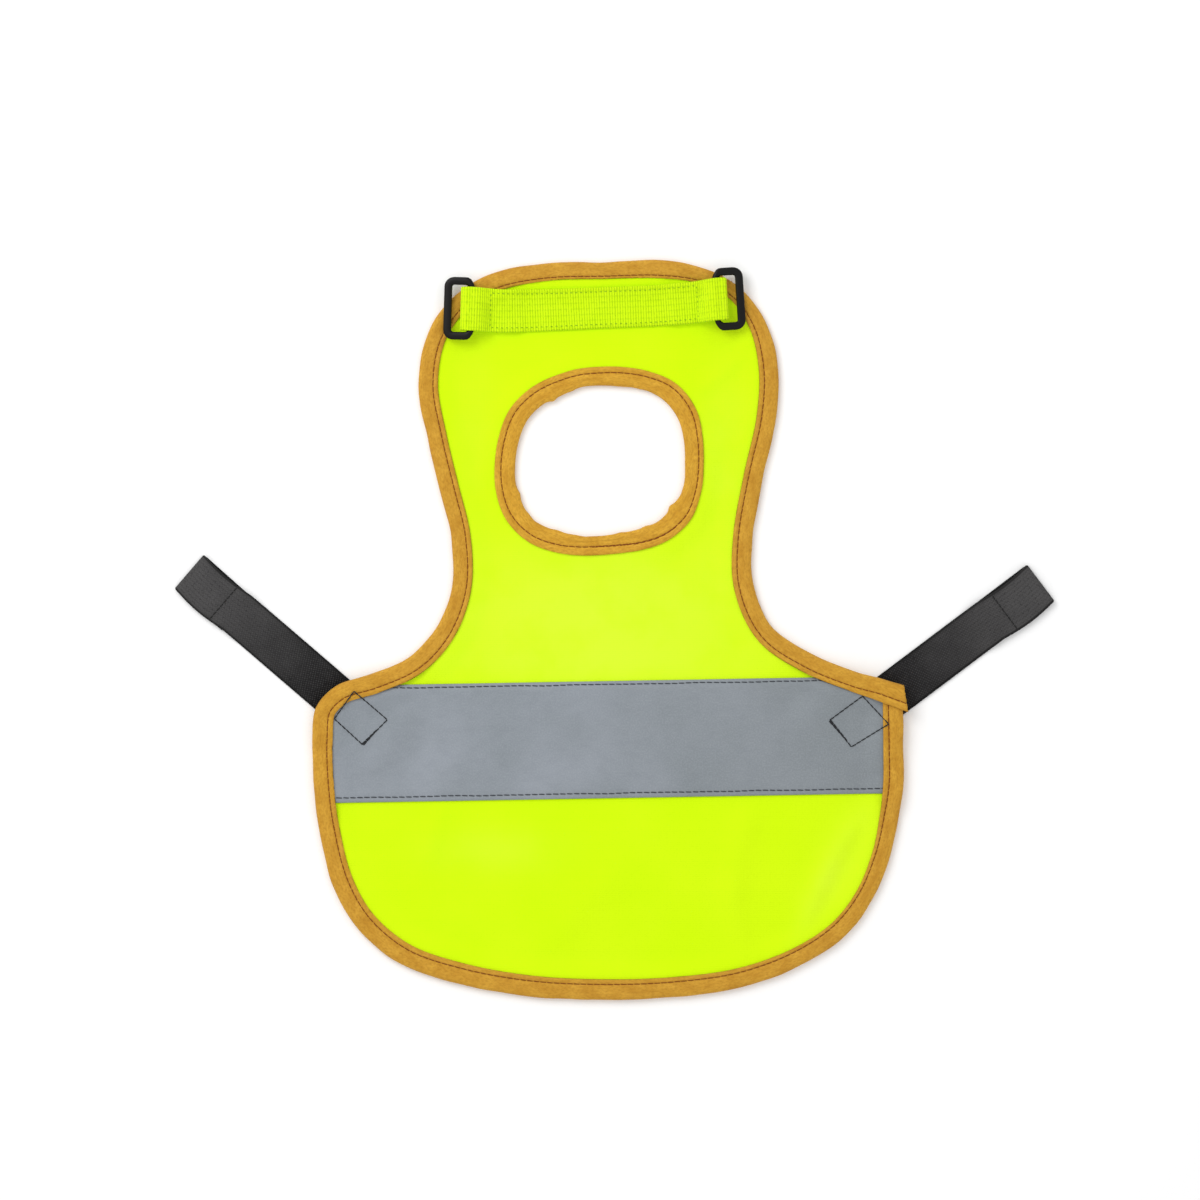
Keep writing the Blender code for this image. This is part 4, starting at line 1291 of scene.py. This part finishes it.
def webbing_cloth():
    """Fluorescent webbing: crosswise ribs with a few faint rows along it, painted shade in the gaps between
    ribs and in the furrows between rows, and a faint painted glow.
    """
    paint = Paint("hi_vis_webbing", 0.75, 0.02, 0.1)
    ribs = paint.bands("X", RIB_PITCH, 0.35)
    rows = paint.bands("Y", WEBBING_FLAT_WIDTH / RIB_ROWS, 0.25)
    clouds = paint.spread(paint.noise(7.0, 3.0), 0.3, 0.7)
    shade = paint.mix(clouds, seen_as(200, 236, 4), seen_as(206, 240, 14))
    # Painted shade in the gaps between the ribs
    gap_shade = paint.times(paint.spread(ribs, 0.42, 0.0), paint.spread(paint.noise(1.3, 3.0), 0.25, 0.6))
    shade = paint.mix(gap_shade, shade, seen_as(146, 192, 0))
    # Painted shade in the furrows between the rows
    furrows = paint.times(paint.spread(rows, 0.3, 0.0), paint.spread(paint.noise(2.4, 3.0), 0.35, 0.6))
    paint.set("Base Color", paint.over(shade, furrows, 0.45, 156, 198, 2))
    paint.bump(ribs, 0.2)
    paint.bump(paint.noise(0.8, 3.0), 0.08)
    # Painted glow: the webbing gives off a little yellow light of its own, though it is no lamp
    paint.set("Emission Color", (0.6, 1.0, 0.01, 1.0))
    paint.set("Emission Strength", 0.1)
    return paint.material


def elastic_cloth():
    """Black woven elastic: a fine close weave, paler grey towards the free end, and painted shade in the
    troughs between its ribs, along its curled edges and on the folded-under hem.
    """
    paint = Paint("black_elastic", 0.9, 0.0, 0.1)
    past_end, sideways = paint.place()
    clouds = paint.times(paint.noise(13.0, 3.0), 0.5)
    # Paler grey towards the free end, darker towards the sewn end, with soft clouds
    paler_to_tip = paint.math("ADD", paint.spread(past_end, 42.0, 118.0), clouds)
    shade = paint.mix(paint.spread(paler_to_tip, 0.1, 1.15), seen_as(79, 78, 78), seen_as(7, 6, 7))
    weave = paint.times(paint.bands("X", 1.0, 1.2, 0.5), paint.bands("Y", 0.9, 1.0, 0.5))
    speckle = paint.times(weave, paint.spread(paint.noise(0.9, 4.0), 0.35, 0.7))
    shade = paint.over(shade, speckle, 0.8, 98, 97, 98)
    shade = paint.over(shade, paint.spread(paint.noise(0.9, 4.0), 0.5, 0.72), 0.5, 12, 12, 12)
    ribs = paint.bands("Y", 1.6, 0.4)
    # Painted shade in the troughs between the ribs
    shade = paint.over(shade, paint.spread(ribs, 0.25, 0.0), 0.2, 30, 29, 30)
    # Painted shade along the edges, where they curl down
    edge_shade = paint.spread(paint.math("ABSOLUTE", sideways, 0.0), 8.6, 9.4)
    shade = paint.over(shade, edge_shade, 0.7, 20, 20, 20)
    # Painted shade on the hem's folded-under layer, where it peeks out from under the upper layer
    under_hem_shade = paint.spread(past_end, 27.5, 24.5)
    paint.set("Base Color", paint.over(shade, under_hem_shade, 0.8, 18, 18, 18))
    paint.bump(ribs, 0.1)
    paint.bump(weave, 0.1)
    return paint.material


def ring_plastic():
    """Black moulded plastic with a soft gloss and a finely grained skin."""
    paint = Paint("black_plastic", 0.34, 0.0, 0.16)
    grain = paint.noise(0.5, 3.0)
    shade = paint.mix(paint.spread(grain, 0.3, 0.7), seen_as(14, 13, 12), seen_as(22, 20, 19))
    paint.set("Base Color", shade)
    paint.bump(grain, 0.02)
    return paint.material


def thread_material(name, dark, light):
    """Twisted sewing thread between two shades."""
    paint = Paint(name, 0.65, 0.1)
    twist = paint.bands("X", 0.45, 0.0, math.radians(35.0))
    paint.set("Base Color", paint.mix(twist, seen_as(*dark), seen_as(*light)))
    paint.bump(twist, 0.05)
    return paint.material


def add_floor():
    """A plain, nearly white floor just under the vest."""
    steps = np.linspace(-FLOOR_SIZE / 2, FLOOR_SIZE / 2, 3)
    x, y = np.meshgrid(steps, steps, indexing="ij")
    points = np.column_stack([x.ravel(), y.ravel(), np.full(9, FLOOR_LEVEL)])
    faces = grid_faces(3, 3, False, False)[0][:, ::-1]
    paint = Paint("pale_floor", 0.9)
    shade = paint.mix(paint.noise(90.0), (0.965, 0.965, 0.965, 1.0), (0.98, 0.98, 0.98, 1.0))
    paint.set("Base Color", shade)
    new_piece("floor", points, faces.tolist(), points[faces.ravel(), :2], paint.material)


def add_studio():
    """White light from all around, and a softbox above the upper left."""
    world = bpy.data.worlds.new("studio")
    bpy.context.scene.world = world
    world.use_nodes = True
    background = world.node_tree.nodes["Background"]
    background.inputs["Color"].default_value = (1.0, 1.0, 1.0, 1.0)
    background.inputs["Strength"].default_value = SKY_STRENGTH
    softbox = bpy.data.lights.new("key", "AREA")
    softbox.shape = "SQUARE"
    softbox.size = KEY_SIZE
    softbox.energy = KEY_WATTS
    lamp = add_object("key", softbox)
    lamp.location = KEY_PLACE
    lamp.rotation_euler = (KEY_TILT, KEY_TILT, 0.0)
    bpy.context.scene.view_settings.view_transform = "Standard"


def add_camera():
    """Looks straight down on the vest, as far away as the photograph's flat view needs."""
    optics = bpy.data.cameras.new("camera")
    optics.lens = LENS
    optics.sensor_width = SENSOR
    camera = add_object("camera", optics)
    camera.location = (VIEW_X * MM, VIEW_Y * MM, VIEW_SIZE * LENS / SENSOR * MM)
    bpy.context.scene.camera = camera


def main():
    """Makes every piece, puts it on the body it rides, and hides the solid that it stands for."""
    thread = {name: thread_material(name + "_thread", *shades) for name, shades in THREADS.items()}
    panel = add_panel(panel_cloth())
    band, band_seams = add_band(band_cloth(), thread["grey"])
    boxes = add_box_stitches(thread["dark"])
    outer, outer_seam = add_outer_binding(tape_cloth("binding_tape", 0), thread["brown"])
    # The neck's tape is a lit copy of the binding tape: painted light brightens it by 9 steps
    neck, neck_seam = add_neck_binding(tape_cloth("neck_tape", 9), thread["brown"])
    webbing, webbing_seams = add_webbing(webbing_cloth(), thread["green"])
    cloth = [
        # piece, node, slot, flat width and length, flat area or None, what it rests on, sewing on it
        (panel, "body_panel", "hi_vis_cloth", (0.2495, 0.3122), 0.0499, ["floor"], []),
        (band, "reflective_band", "reflective_tape", (0.05, 0.2495), None, [panel], [band_seams, boxes]),
        (outer, "outer_binding", "binding_tape", (0.0205, 1.0), 0.0195, [panel, "floor"], [outer_seam]),
        (neck, "neck_binding", "binding_tape", (0.0205, 0.224), 0.0045, [panel, "floor"], [neck_seam]),
        (webbing, "webbing_strap", "hi_vis_webbing", (0.0193, 0.157), None, [panel, outer], [webbing_seams]),
    ]
    elastic = elastic_cloth()
    for strap in STRAPS:
        piece, seam = add_elastic(strap, elastic, thread["black"])
        flat = (strap[5] * MM, (strap_frame(strap)[3] + HEM_LENGTH) * MM)
        cloth.append((piece, strap[0], "black_elastic", flat, None, ["floor"], [seam]))
    for piece, node, slot, flat, area, under, seams in cloth:
        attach(piece, "garment")
        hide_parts(node)
        for seam in seams:
            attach(seam, "garment")
    plastic = ring_plastic()
    for side, distance, turned in (("left", 0.0, math.pi), ("right", WEBBING_LENGTH, 0.0)):
        ring = add_ring("ring_" + side + "_moulding", distance, turned, plastic)
        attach(ring, side + "_ring")
        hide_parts("ring_" + side)
    add_floor()
    add_studio()
    add_camera()


main()
